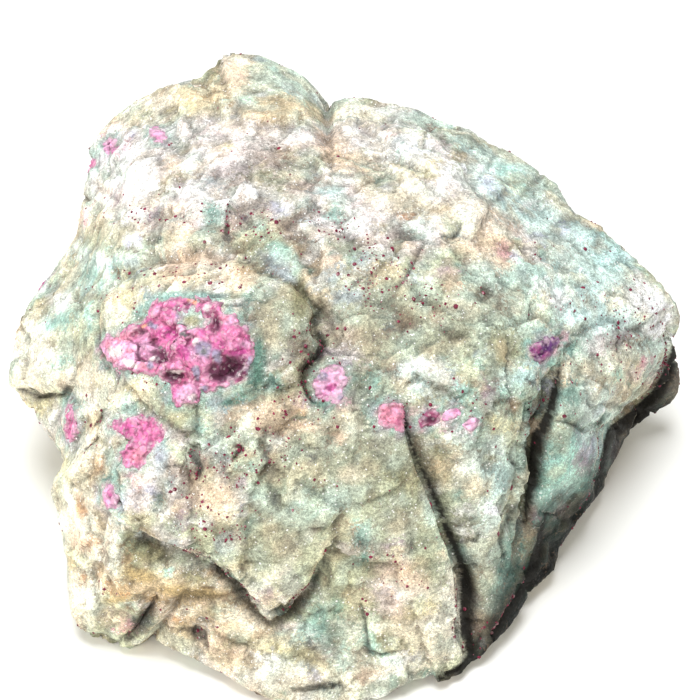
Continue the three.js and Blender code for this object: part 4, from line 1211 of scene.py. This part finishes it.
# Fuchsite schist: matt, finely granular chrome mica. It gives a pale speckled green with pearly glints,
# painted as white highlights on glossier flakes.
def fuchsiteMica():
    material, tree, shader = newMaterial("fuchsite_mica_schist", {"IOR": 1.58, "Specular IOR Level": 0.18})
    place = addNode(tree, "ShaderNodeTexCoord", {}, {})["Object"]
    mineralAndPaintedShade, neighbour, marks = (
        addNode(tree, "ShaderNodeAttribute", {"attribute_name": name}, {})["Color"]
        for name in ("mineralAndPaintedShade", "neighbourMineralAndPaintedShade", "marks")
    )
    crackShadeMark, hollowMark, speckMark = addNode(tree, "ShaderNodeSeparateColor", {}, {0: marks})
    heights = {}
    draws = {}
    for name, (size, shift) in rockFinish["cells"].items():
        moved = addNode(tree, "ShaderNodeMapping", {}, {"Vector": place, "Location": (shift, 0, 0)})[0]
        scale = 1 / (size * millimetre)
        cell = addNode(tree, "ShaderNodeTexVoronoi", {}, {"Vector": moved, "Scale": scale})
        heights[name] = cell["Distance"]
        draws[name] = addNode(tree, "ShaderNodeSeparateColor", {}, {0: cell["Color"]})
    for name, (size, detail) in rockFinish["noises"].items():
        inputs = {"Vector": place, "Scale": 1 / (size * millimetre), "Detail": detail}
        inputs["Roughness"] = rockFinish["noiseRoughness"]
        heights[name] = addNode(tree, "ShaderNodeTexNoise", {}, inputs)["Fac"]

    # Neighbouring grains take one of two colours, and lighter or darker ones
    pick = addNode(tree, "ShaderNodeMapRange", {}, {0: draws["grain"][0], 1: 0.45, 2: 0.55})[0]
    colour = addNode(tree, "ShaderNodeMix", {"data_type": "RGBA"}, {0: pick, 6: mineralAndPaintedShade, 7: neighbour})[2]
    lights = [
        (draws["grain"][1], 0, 1, 0.76, 1.2), (heights["fine"], 0.3, 0.7, 0.62, 1.3),
        (draws["flake"][0], 0, 1, 0.74, 1.2), (heights["mottle"], 0.3, 0.7, 0.86, 1.12),
    ]
    for factor in lights:
        light = addNode(tree, "ShaderNodeMapRange", {}, dict(enumerate(factor)))[0]
        kind = {"data_type": "RGBA", "blend_type": "MULTIPLY"}
        colour = addNode(tree, "ShaderNodeMix", kind, {0: 1.0, 6: colour, 7: light})[2]

    # Laid over them: brown veins, dirt in the hollows, burgundy specks, painted white glints and painted
    # shade in the cracks
    inputs = {0: heights["vein"], 1: 0.5, 2: 0.008}
    vein = addNode(tree, "ShaderNodeMath", {"operation": "COMPARE"}, inputs)[0]
    usual = addNode(tree, "ShaderNodeMapRange", {}, {0: heights["mottle"], 3: 0.05, 4: 0.55})[0]
    chance = addNode(tree, "ShaderNodeMath", {"operation": "MULTIPLY"}, {0: speckMark, 1: usual})[0]
    speck = addNode(tree, "ShaderNodeMath", {"operation": "LESS_THAN"}, {0: draws["speck"][0], 1: chance})[0]
    most = 1 - rockFinish["glintShare"]
    glint = addNode(tree, "ShaderNodeMapRange", {}, {0: draws["flake"][2], 1: most, 2: most + 0.01})[0]
    lit = addNode(tree, "ShaderNodeSeparateColor", {}, {0: mineralAndPaintedShade})[1]
    covers = [
        ("brown", [(vein, 0, 1, 0, 0.5), (heights["mottle"], 0.45, 0.6, 0, 1)]),
        ("brown", [(heights["dirt"], 0.38, 0.3, 0, 0.75), (hollowMark, 0, 0.6, 0.4, 1)]),
        ("burgundy", [(heights["speck"], 0.12, 0.2, 0.9, 0), (speck, 0, 1, 0, 1)]),
        # painted highlights: white glints, kept out of the painted shade
        ("white", [(glint, 0, 1, 0, 1), (lit, 0.06, 0.35, 0, 0.8)]),
        # painted shade in the cracks
        ("nearBlack", [(crackShadeMark, 0, 1, 0, 0.97)]),
    ]
    for cover, factors in covers:
        share = 1.0
        for factor in factors:
            part = addNode(tree, "ShaderNodeMapRange", {}, dict(enumerate(factor)))[0]
            share = addNode(tree, "ShaderNodeMath", {"operation": "MULTIPLY"}, {0: share, 1: part})[0]
        inputs = {0: share, 6: colour, 7: rgba(cover)}
        colour = addNode(tree, "ShaderNodeMix", {"data_type": "RGBA"}, inputs)[2]
    tree.links.new(colour, shader.inputs["Base Color"])

    matt = addNode(tree, "ShaderNodeMapRange", {}, {0: draws["grain"][1], 3: 0.55, 4: 0.85})[0]
    gloss = addNode(tree, "ShaderNodeMapRange", {}, {0: draws["grain"][0], 3: -0.2, 4: -0.35})[0]
    addition = {"operation": "MULTIPLY_ADD"}
    roughness = addNode(tree, "ShaderNodeMath", addition, {0: glint, 1: gloss, 2: matt})[0]
    tree.links.new(roughness, shader.inputs["Roughness"])
    normal = None
    for name, strength, size in rockFinish["bumps"]:
        inputs = {"Height": heights[name], "Strength": strength, "Distance": size * millimetre}
        if normal:
            inputs["Normal"] = normal
        normal = addNode(tree, "ShaderNodeBump", {}, inputs)[0]
    tree.links.new(normal, shader.inputs["Normal"])
    return material


rubyFinish = {"grain": 0.45, "cloud": 0.9, "bump": 0.15, "dust": 0.25}  # sizes in mm, and the share of dust


# Ruby, which is red corundum: hard and glassy on its partings, cloudy pink inside, with mica dust on it
def rubyCorundum(name, flat=None):
    material, tree, shader = newMaterial(name, {"IOR": 1.77, "Specular IOR Level": 0.2})
    place = addNode(tree, "ShaderNodeTexCoord", {}, {})["Object"]
    scales = {size: 1 / (rubyFinish[size] * millimetre) for size in ("grain", "cloud")}
    grain = addNode(tree, "ShaderNodeTexVoronoi", {}, {"Vector": place, "Scale": scales["grain"]})
    draw = addNode(tree, "ShaderNodeSeparateColor", {}, {0: grain["Color"]})
    inputs = {"Vector": place, "Scale": scales["cloud"], "Detail": 4}
    cloud = addNode(tree, "ShaderNodeTexNoise", {}, inputs)["Fac"]
    if flat:
        colour = rgba(flat)
    else:
        colour = addNode(tree, "ShaderNodeAttribute", {"attribute_name": "crystalColour"}, {})["Color"]
    for factor in ((draw[0], 0, 1, 0.68, 1.22), (cloud, 0.3, 0.7, 0.6, 1.35)):
        light = addNode(tree, "ShaderNodeMapRange", {}, dict(enumerate(factor)))[0]
        kind = {"data_type": "RGBA", "blend_type": "MULTIPLY"}
        colour = addNode(tree, "ShaderNodeMix", kind, {0: 1.0, 6: colour, 7: light})[2]
    dust = addNode(tree, "ShaderNodeMapRange", {}, {0: draw[1], 1: 0.8, 2: 1, 4: rubyFinish["dust"]})[0]
    inputs = {0: dust, 6: colour, 7: rgba("pinkWhite")}
    dusted = addNode(tree, "ShaderNodeMix", {"data_type": "RGBA"}, inputs)[2]
    tree.links.new(dusted, shader.inputs["Base Color"])
    gloss = addNode(tree, "ShaderNodeMapRange", {}, {0: draw[2], 3: 0.35, 4: 0.75})[0]
    tree.links.new(gloss, shader.inputs["Roughness"])
    inputs = {"Height": cloud, "Strength": 0.7, "Distance": rubyFinish["bump"] * millimetre}
    bump = addNode(tree, "ShaderNodeBump", {}, inputs)[0]
    tree.links.new(bump, shader.inputs["Normal"])
    return material


# Crystals. Each is cut from the lump's skin where its outline lies, given its own facets and closed below.
# outline is in the photograph's pixels. Those out of its sight are ovals, [half width, half height] in mm.
# rise is how far one stands out and facet how wide its blocks are, in mm. ragged and micaRim, in mm too, are
# how far its edge wanders and how wide the mica on it is, where they differ from crystalCut's.

crystals = {
    "ruby_main_mass": {
        "rise": 0.2, "facet": 3.4, "ragged": 1,
        "outline": [
            (155, 300), (175, 298), (200, 298), (215, 305), (222, 313), (232, 318), (245, 330), (251, 345),
            (252, 360), (242, 374), (226, 385), (215, 388), (202, 392), (192, 402), (180, 405), (172, 400),
            (170, 385), (160, 376), (150, 372), (135, 371), (120, 368), (105, 361), (101, 350), (105, 340),
            (120, 334), (135, 327), (148, 318), (152, 308),
        ],
        "hole": [(179, 311), (190, 307), (203, 311), (208, 320), (202, 329), (188, 331), (177, 325)],
        "lobes": [  # pink tops and plum pits, the pits' plum partly painted shade: an ellipse and its height in mm
            (205, 340, 43.2, 23.76, 0.5), (233, 373, 19, 12, -15, -1.4), (213, 322, 7, 13, -15, -1.2),
            (161, 355, 9, 8, -1), (176, 378, 12, 6, -0.8), (187, 394, 10, 9, 0.5), (120, 350, 16, 12, 0.5),
        ],
        "colour": "hotPink",
    },
    "ruby_lower_left": {
        "rise": 0.1, "facet": 2.0, "ragged": 1, "micaRim": 1.1,
        "outline": [
            (109, 427), (116, 424), (125, 421), (138, 417), (152, 419), (161, 424), (165, 432), (161, 441),
            (152, 442), (150, 450), (147, 458), (139, 467), (130, 468), (123, 462), (122, 455), (128, 448),
            (131, 441), (123, 434),
        ],
        "colour": "hotPink",
    },
    "ruby_left_edge": {
        "rise": 0.1, "facet": 1.6,
        "outline": [
            (70, 404), (73, 410), (75, 420), (77, 430), (74, 438), (70, 442), (67, 436), (65, 425),
            (66, 415), (68, 408),
        ],
        "colour": "hotPink",
    },
    "ruby_tail": {
        "rise": 0.1, "facet": 1.6,
        "outline": [
            (103, 487), (108, 484), (112, 487), (114, 493), (117, 500), (114, 507), (108, 509), (104, 503),
        ],
        "colour": "paleRuby",
    },
    "ruby_crack_side": {
        "rise": 0.05, "facet": 1.2, "ragged": 0.9, "micaRim": 1.6,
        "outline": [
            (314, 380), (322, 370), (333, 366), (343, 370), (347, 380), (343, 392), (336, 402), (325, 403),
            (317, 397),
        ],
        "colour": "dustyPink",
    },
    "ruby_slab_corner": {
        "rise": 0.2, "facet": 1.6,
        "outline": [
            (378, 413), (381, 408), (386, 403), (394, 402), (403, 407), (403, 415), (406, 428), (402, 431),
            (394, 428), (386, 426), (378, 422),
        ],
        "colour": "salmon",
    },
    "ruby_plum_tablet": {
        "rise": 0.1, "facet": 2.6,
        "outline": [
            (420, 423), (424, 415), (431, 410), (438, 410), (442, 416), (438, 422), (430, 426), (422, 427),
        ],
        "colour": "mauve",
    },
    "ruby_pink_pair": {
        "rise": 0.1, "facet": 1.6,
        "outline": [(443, 417), (447, 411), (454, 406), (460, 408), (460, 415), (452, 419), (446, 420)],
        "colour": "paleRuby",
    },
    "ruby_pink_end": {
        "rise": 0.1, "facet": 1.4,
        "outline": [(465, 422), (472, 418), (478, 422), (477, 428), (472, 431), (466, 430)],
        "colour": "paleRuby",
    },
    "ruby_dark_tablet": {
        "rise": 0.12, "facet": 3,
        "outline": [
            (529, 353), (533, 347), (540, 342), (551, 339), (560, 335), (567, 333), (566, 340), (563, 345),
            (555, 350), (548, 358), (544, 361), (537, 359), (532, 356),
        ],
        "colour": "violetPlum",
    },
    "ruby_rear_rim_left": {
        "rise": 0.1, "facet": 1.6,
        "outline": [(105, 144), (110, 139), (116, 141), (118, 147), (114, 152), (108, 153), (105, 149)],
        "colour": "blushRuby",
    },
    "ruby_rear_rim_right": {
        "rise": 0.1, "facet": 1.6,
        "outline": [(151, 131), (156, 127), (162, 130), (166, 136), (161, 141), (155, 139), (151, 136)],
        "colour": "blushRuby",
    },
    "ruby_left_rim": {"rise": 0.1, "facet": 1.6, "oval": (1.3, 2.1), "colour": "hotPink"},
    "ruby_rear_mass": {"rise": 0.3, "facet": 3.4, "oval": (8.5, 6.2), "colour": "hotPink"},
    "ruby_rear_middle": {"rise": 0.15, "facet": 2, "oval": (2.4, 3), "colour": "magenta"},
    "ruby_rear_right": {"rise": 0.2, "facet": 2.6, "oval": (3.6, 4.4), "colour": "hotPink"},
    "ruby_left_flank": {"rise": 0.2, "facet": 2.4, "oval": (3, 4), "colour": "magenta"},
}
crystalCut = {  # in mm where no other measure is named
    "margin": 1.6,  # skin taken beyond the outline, which dives under the rock
    "dive": 1.3,  # and how far it dives
    "recess": 2.2,  # how far the rock's skin is sunk under a crystal
    "recessEdge": 0.9,  # depth inside the outline where it is sunk fully
    "thickness": 2,
    "cuts": 3,  # of each edge of the skin
    "blocks": [(1, 0.24, 0.12, 700), (0.42, 0.14, 0.04, 720)],  # share of facet, tilt, step and seed
    "blockStretch": (0.75, 1.25, 1),
    "warp": 0.15,  # share of a block's size by which its borders wander
    "wallWidth": 0.25,
    "rib": 0.06,  # height of the fine ribs on the blocks
    "ragged": 0.65,
    "micaRim": 0.9,
    "core": 0.3,  # depth inside the outline from where slopes and ridges are painted
    "spare": 3,  # how far an outline's crystal may reach beyond its node's box
    "heart": (0, 0, 26),  # the hidden crystals point away from here
    "seatReach": 1.5,  # from the line out through a hidden crystal's middle
    "seatWidth": 3,  # around its seat, where the skin's way out is taken
    "ovalDepth": 6,  # above and below the seat, where its oval counts
    "patchFade": (0.5, 1.15),
    "patchStrength": 0.9,
    "patchBends": ((3, 2, 770, 772), (2, 0.8, 771, 773)),
}
farOutside = -99  # mm, for points that are nowhere near a crystal


# Colours within the crystals that the photograph shows, laid like the rock's patches
crystalPatches = [
    ("paleRuby", [
        (122, 352, 26, 16), (186, 395, 13, 11, -30), (230, 322, 8, 6, 20), (134, 472, 8, 6),
        (158, 312, 7, 7), (190, 352, 7, 8), (148, 345, 12, 8), (243, 345, 8, 6),
    ]),
    ("blushRuby", [(120, 352, 20, 12), (130, 364, 16, 6, 10), (112, 342, 8, 6)]),
    ("magenta", [
        (184, 352, 9, 8), (110, 492, 4, 6), (331, 388, 6, 6), (236, 352, 12, 6, -10), (170, 333, 6, 9, -30),
        (224, 392, 6, 3), (205, 392, 8, 6),
    ]),
    ("hotPink", [
        (167, 314, 11, 9), (235, 335, 14, 12, 40), (155, 430, 9, 7), (180, 302, 9, 4), (205, 305, 8, 4, 20),
    ]),
    ("salmon", [
        (138, 455, 12, 10), (125, 337, 20, 4, -15), (140, 366, 20, 3, 10), (108, 345, 5, 6),
        (224, 318, 6, 5), (387, 416, 8, 10), (112, 360, 8, 3, 10), (130, 350, 4, 4),
    ]),
    ("orange", [(192, 301, 8, 3, 5), (145, 325, 5, 2, -30)]),
    ("mauve", [
        (213, 320, 10, 17, -15), (176, 377, 17, 10, 10), (222, 366, 18, 17, -10), (208, 300, 8, 4, 20),
        (430, 419, 11, 7, -30), (196, 375, 8, 8), (154, 340, 6, 6), (245, 378, 8, 6),
    ]),
    ("plum", [
        (236, 367, 18, 16, -15), (222, 374, 10, 12, -10), (160, 356, 13, 9), (173, 375, 9, 7),
        (217, 325, 4, 9, -10), (186, 333, 7, 3), (138, 346, 3, 4), (214, 372, 5, 10, -10),
        (430, 420, 6, 4, -30),
    ]),
    ("lilac", [
        (204, 349, 10, 11, -10), (153, 326, 8, 4, 20), (180, 316, 6, 7), (151, 366, 5, 4), (322, 377, 7, 6),
        (341, 397, 5, 5), (136, 482, 5, 8), (217, 356, 5, 10, -20), (196, 372, 4, 8), (250, 365, 3, 10),
        (204, 388, 6, 4),
    ]),
    ("pinkWhite", [
        (116, 352, 9, 7), (130, 364, 10, 5, 10), (192, 398, 5, 4), (196, 342, 4, 4), (152, 360, 4, 3),
        (175, 372, 12, 2, -8), (207, 308, 4, 4),
    ]),
    ("slate", [(204, 352, 4, 4), (160, 348, 4, 2), (182, 334, 5, 2), (240, 372, 3, 4)]),
]


def crystalSeat(points, normals, name):  # where a hidden crystal's middle meets the skin, and the way out
    low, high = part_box(name)
    middle = np.array((low + high) / 2)
    outward = middle - np.array(crystalCut["heart"]) * millimetre
    outward /= np.linalg.norm(outward)
    along = (points - middle) @ outward
    beside = np.linalg.norm(points - middle - along[:, None] * outward, axis=1)
    seat = np.argmax(np.where(beside < crystalCut["seatReach"] * millimetre, along, -1))
    near = np.linalg.norm(points - points[seat], axis=1) < crystalCut["seatWidth"] * millimetre
    normal = normals[near].mean(axis=0)
    return points[seat], normal / np.linalg.norm(normal)


def depthInCrystal(points, normals, name):  # mm inside its outline, negative outside
    crystal = crystals[name]
    ragged = crystal.get("ragged", crystalCut["ragged"]) * layeredNoise(points, 1.6 * millimetre, 3, 610)
    if "outline" in crystal:
        across, down = pixelsOf(points)
        inside = insideOutline(across, down, crystal["outline"])
        if "hole" in crystal:
            inside = np.minimum(inside, -insideOutline(across, down, crystal["hole"]))
        low, high = (np.array(corner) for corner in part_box(name))
        spare = crystalCut["spare"] * millimetre
        near = np.all((points > low - spare) & (points < high + spare), axis=1)
        near &= facingEye(points, normals) > 0
        return np.where(near, inside * pixel / millimetre, farOutside) + ragged
    seat, normal = crystal["seat"]
    side = np.cross(normal, (0, 0, 1))
    side /= np.linalg.norm(side)
    other = np.cross(side, normal)
    halfWidth, halfHeight = crystal["oval"]
    offset = (points - seat) / millimetre
    along, beside = offset @ side, offset @ other
    inside = (1 - np.hypot(along / halfWidth, beside / halfHeight)) * min(crystal["oval"])
    inside += 1.2 * layeredNoise(points, 5 * millimetre, 2, 640)
    return np.where(np.abs(offset @ normal) < crystalCut["ovalDepth"], inside, farOutside) + ragged


def skinWhere(skin, wanted):  # the part of a skin whose points are wanted
    bm = bmesh.new()
    bm.from_mesh(skin)
    spare = [face for face in bm.faces if not all(wanted[vert.index] for vert in face.verts)]
    bmesh.ops.delete(bm, geom=spare, context="FACES")
    return bm


def wholePatch(bm):  # leaves the largest patch, without points where two of its corners only touch
    while True:
        touching = [vert for vert in bm.verts if sum(edge.is_boundary for edge in vert.link_edges) > 2]
        bmesh.ops.delete(bm, geom=touching, context="VERTS")
        bmesh.ops.delete(bm, geom=[edge for edge in bm.edges if not edge.link_faces], context="EDGES")
        if not touching:
            break
    left = set(bm.verts)
    patches = []
    while left:
        patch = {left.pop()}
        frontier = list(patch)
        while frontier:
            near = {link.other_vert(vert) for vert in frontier for link in vert.link_edges} & left
            left -= near
            patch |= near
            frontier = list(near)
        patches.append(patch)
    largest = max(patches, key=len)
    bmesh.ops.delete(bm, geom=[vert for vert in bm.verts if vert not in largest], context="VERTS")


def growCrystal(skin, name, material):
    crystal = crystals[name]
    points = pointsOf(skin)
    bm = skinWhere(skin, depthInCrystal(points, movePoints(skin, points), name) > -crystalCut["margin"])
    wholePatch(bm)
    bmesh.ops.subdivide_edges(bm, edges=bm.edges, cuts=crystalCut["cuts"], use_grid_fill=True)
    piece = bpy.data.meshes.new(name.replace("ruby_", "crystal_"))
    bm.to_mesh(piece)
    edges = edgesOf(piece)
    points = relaxed(pointsOf(piece), edges, 6)
    normals = movePoints(piece, points)
    depth = depthInCrystal(points, normals, name)
    height = crystal["rise"] + blockRelief(points, crystal)
    height -= crystalCut["dive"] * smoothstep(0.2, -1.3, depth)
    height += bulges(*pixelsOf(points), crystal.get("lobes", [])) * smoothstep(0, 1.4, depth)
    moved = points + normals * (height * millimetre)[:, None]
    core = depth > crystalCut["core"]
    facing = np.where(core, np.sum(movePoints(piece, moved) * normals, axis=1), 1)
    ridge = np.sum((moved - relaxed(moved, edges, 30)) * normals, axis=1) / millimetre
    paintCrystal(piece, moved, name, facing, np.where(core, ridge, 0), depth)
    bm.clear()
    bm.from_mesh(piece)
    inward = -normals.mean(axis=0) / np.linalg.norm(normals.mean(axis=0))
    lower = bmesh.ops.extrude_face_region(bm, geom=bm.faces[:], use_keep_orig=True)["geom"]
    root = [part for part in lower if isinstance(part, bmesh.types.BMVert)]
    bmesh.ops.translate(bm, verts=root, vec=inward * crystalCut["thickness"] * millimetre)
    bmesh.ops.recalc_face_normals(bm, faces=bm.faces)
    if bm.calc_volume(signed=True) < 0:
        bmesh.ops.reverse_faces(bm, faces=bm.faces)
    bm.to_mesh(piece)
    bm.free()
    piece.materials.append(material)
    placed(piece, "ruby", name)


# The broken steps of corundum's partings: tilted blocks with steep sides, and fine ribs on them
def blockRelief(points, crystal):
    height = np.zeros(len(points))
    for share, tilt, step, seed in crystalCut["blocks"]:
        size = crystal["facet"] * share * millimetre
        place = points * np.array(crystalCut["blockStretch"])
        place += crystalCut["warp"] * size * noiseVector(points, size, seed)
        fromMiddle, draws, border = chipsOf(place, size, seed)
        slope = np.sum(fromMiddle * draws, axis=1) / millimetre * tilt
        level = slope + crystal["facet"] * step * draws[:, 1]
        height += level * smoothstep(0, crystalCut["wallWidth"] * millimetre, border)
    rib = layeredNoise(points @ np.diag((1, 0.25, 0.25)), 0.5 * millimetre, 1, 750)
    return height + crystalCut["rib"] * rib


def paintCrystal(mesh, points, name, facing, ridge, depth):
    crystal = crystals[name]
    across, down = wandered(points, *pixelsOf(points), crystalCut["patchBends"])
    colours = np.tile(linearColour(crystal["colour"]), (len(points), 1))
    cloud = layeredNoise(points, 3 * millimetre, 3, 760)
    colours = blendTowards(colours, "paleRuby", 0.6 * smoothstep(0.0, 0.5, cloud))
    colours = blendTowards(colours, "magenta", 0.6 * smoothstep(0.0, 0.5, -cloud))
    frost = smoothstep(-0.2, 0.4, layeredNoise(points, 1.4 * millimetre, 3, 780))
    colours = blendTowards(colours, "pinkWhite", 0.4 * smoothstep(0.05, 0.4, ridge) * frost)
    if "outline" in crystal:
        fade, strength = crystalCut["patchFade"], crystalCut["patchStrength"]
        colours = layPatches(colours, across, down, crystalPatches, fade, strength)
    # painted shade: plum in the pits and on facets tilted away from the crystal's surface
    colours = blendTowards(colours, "plum", 0.75 * smoothstep(-0.05, -0.4, ridge))
    colours = blendTowards(colours, "plum", 0.6 * smoothstep(0.8, 0.5, facing))
    rim = smoothstep(crystal.get("micaRim", crystalCut["micaRim"]), -0.1, depth)
    mica = rim * smoothstep(-0.4, 0.2, layeredNoise(points, 0.9 * millimetre, 2, 785))
    colours = blendTowards(colours, "micaOnRuby", 0.75 * mica)
    storeColours(mesh, "crystalColour", colours)


# Loose ruby grains, a few tenths of a millimetre wide, half sunk in the break

grainShape = {  # widths in mm
    "smallest": 0.2,
    "typical": 0.42,
    "largest": 0.9,
    "variety": 0.4,
    "stretch": (0.7, 1.4),  # along each axis
    "jitter": 0.35,  # beside the point of the skin that it is set on
    "sink": 0.2,  # share of the width
    "hiddenPerSquareCm": 5,
    "seenFacing": 0.15,  # how far the break is turned to the eye where the photograph's clusters end
}


def grainSeeds(mesh, rng):
    points = pointsOf(mesh)
    normals = movePoints(mesh, points)
    across, down = pixelsOf(points)
    facing = facingEye(points, normals)
    chosen = []
    for *place, count in speckClusters:
        share = np.exp(-1.2 * spread(across, down, place) ** 2) * (facing > grainShape["seenFacing"])
        chosen.append(rng.choice(len(points), count, replace=False, p=share / share.sum()))
    away = facing < grainShape["seenFacing"]
    hidden = np.clip(layeredNoise(points, 12 * millimetre, 2, 820) + 0.1, 0, 1) * away
    hidden *= points[:, 2] > 1 * millimetre
    squareCm = np.sum(away) * (lumpShape["voxel"] * 100) ** 2
    count = int(squareCm * grainShape["hiddenPerSquareCm"])
    chosen.append(rng.choice(len(points), count, replace=False, p=hidden / hidden.sum()))
    picked = np.concatenate(chosen)
    return points[picked], normals[picked]


def rubyGrains(skin, material):
    rng = np.random.default_rng(7)
    places, normals = grainSeeds(skin, rng)
    bm = bmesh.new()
    bmesh.ops.create_icosphere(bm, subdivisions=1, radius=0.5)
    shape = bpy.data.meshes.new("grain_shape")
    bm.to_mesh(shape)
    bm.clear()
    for place, normal in zip(places, normals):
        width = rng.lognormal(math.log(grainShape["typical"]), grainShape["variety"])
        width = np.clip(width, grainShape["smallest"], grainShape["largest"])
        stretch = rng.uniform(*grainShape["stretch"], 3)
        jitter = rng.uniform(-grainShape["jitter"], grainShape["jitter"], 3) * millimetre
        spot = place + jitter - normal * (jitter @ normal + width * grainShape["sink"] * millimetre)
        turn = Matrix.Rotation(rng.uniform(0, math.tau), 4, Vector(rng.normal(size=3)).normalized())
        size = Matrix.Diagonal((*(stretch * width * millimetre), 1))
        grain = shape.copy()
        grain.transform(Matrix.Translation(Vector(spot)) @ turn @ size)
        bm.from_mesh(grain)
        bpy.data.meshes.remove(grain)
    bpy.data.meshes.remove(shape)
    mesh = bpy.data.meshes.new("ruby_grains")
    bm.to_mesh(mesh)
    bm.free()
    mesh.materials.append(material)
    placed(mesh, "ruby")
    mesh.shade_flat()


# Studio: a plain pale floor, a big soft lamp above, and weak ones from the front and the left

studio = {
    "floorSize": 3.0,
    "floorColour": "white",
    "worldStrength": 0.31,
    "lamps": [
        {"name": "key", "place": (-0.03, -0.01, 0.74), "size": 0.40, "watts": 5.95, "colour": "f4f9ff"},
        {"name": "fill", "place": (-0.05, -0.60, 0.45), "size": 0.50, "watts": 1.5, "colour": "fffcf8"},
        {"name": "side", "place": (-0.60, -0.30, 0.25), "size": 0.30, "watts": 2.0, "colour": "fffefc"},
    ],
}


def buildStudio():
    bm = bmesh.new()
    bmesh.ops.create_grid(bm, x_segments=1, y_segments=1, size=studio["floorSize"] / 2)
    mesh = bpy.data.meshes.new("floor")
    bm.to_mesh(mesh)
    bm.free()
    material, _, shader = newMaterial("matt_white_paper", {"Roughness": 0.95})
    shader.inputs["Base Color"].default_value = rgba(studio["floorColour"])
    mesh.materials.append(material)
    addObject("floor", mesh)
    world = bpy.data.worlds.new("studio_air")
    world.use_nodes = True
    air = world.node_tree.nodes["Background"]
    air.inputs["Color"].default_value = (1, 1, 1, 1)
    air.inputs["Strength"].default_value = studio["worldStrength"]
    bpy.context.scene.world = world
    for lamp in studio["lamps"]:
        light = bpy.data.lights.new(lamp["name"], "AREA")
        light.shape = "DISK"
        light.size = lamp["size"]
        light.energy = lamp["watts"]
        light.color = linearColour(lamp["colour"])
        stand = addObject(lamp["name"], light)
        stand.location = lamp["place"]
        toward = Vector(picture["aim"]) - Vector(lamp["place"])
        stand.rotation_euler = toward.to_track_quat("-Z", "Y").to_euler()


def buildCamera():
    optics = bpy.data.cameras.new("camera")
    optics.sensor_width = picture["sensorWidth"]
    optics.lens = picture["sensorWidth"] * picture["eyeDistance"] / (picture["size"] * pixel)
    camera = addObject("camera", optics)
    camera.location = eye
    camera.rotation_euler = (math.radians(90) - elevation, 0, 0)
    bpy.context.scene.camera = camera
    bpy.context.scene.view_settings.view_transform = "Standard"


# Grows the crystals, sinks the skin under them and returns how many mm its points are inside them
def setCrystals(skin):
    points = pointsOf(skin)
    normals = movePoints(skin, points)
    deepest = np.full(len(points), -math.inf)
    for name, crystal in crystals.items():
        if "oval" in crystal:
            crystal["seat"] = crystalSeat(points, normals, name)
        deepest = np.maximum(deepest, depthInCrystal(points, normals, name))
    beds = bpy.data.meshes.new("crystal_beds")
    skinWhere(skin, deepest > -2 * crystalCut["margin"]).to_mesh(beds)
    material = rubyCorundum("ruby_corundum")
    for name in crystals:
        growCrystal(beds, name, material)
    bpy.data.meshes.remove(beds)
    recess = smoothstep(0.0, crystalCut["recessEdge"], deepest) * crystalCut["recess"] * millimetre
    movePoints(skin, points - normals * recess[:, None])
    return deepest


# Making

buildCamera()
buildStudio()
print("camera and studio ready")

skin = lumpFromFrame()
withoutHollows(skin)
print("skin over the frame:", len(skin.vertices), "points")
broken(skin)
print("break carved:", len(skin.vertices), "points")

deepest = setCrystals(skin)
print("crystals grown:", len(crystals))

paintRock(skin, np.clip(-deepest, 0, -farOutside))
skin.name = "rock_skin"
skin.materials.clear()
skin.materials.append(fuchsiteMica())
placed(skin, "fuchsite", "fuchsite_rock")
print("rock painted")

rubyGrains(skin, rubyCorundum("ruby_grain_corundum", "burgundy"))
print("grains scattered")
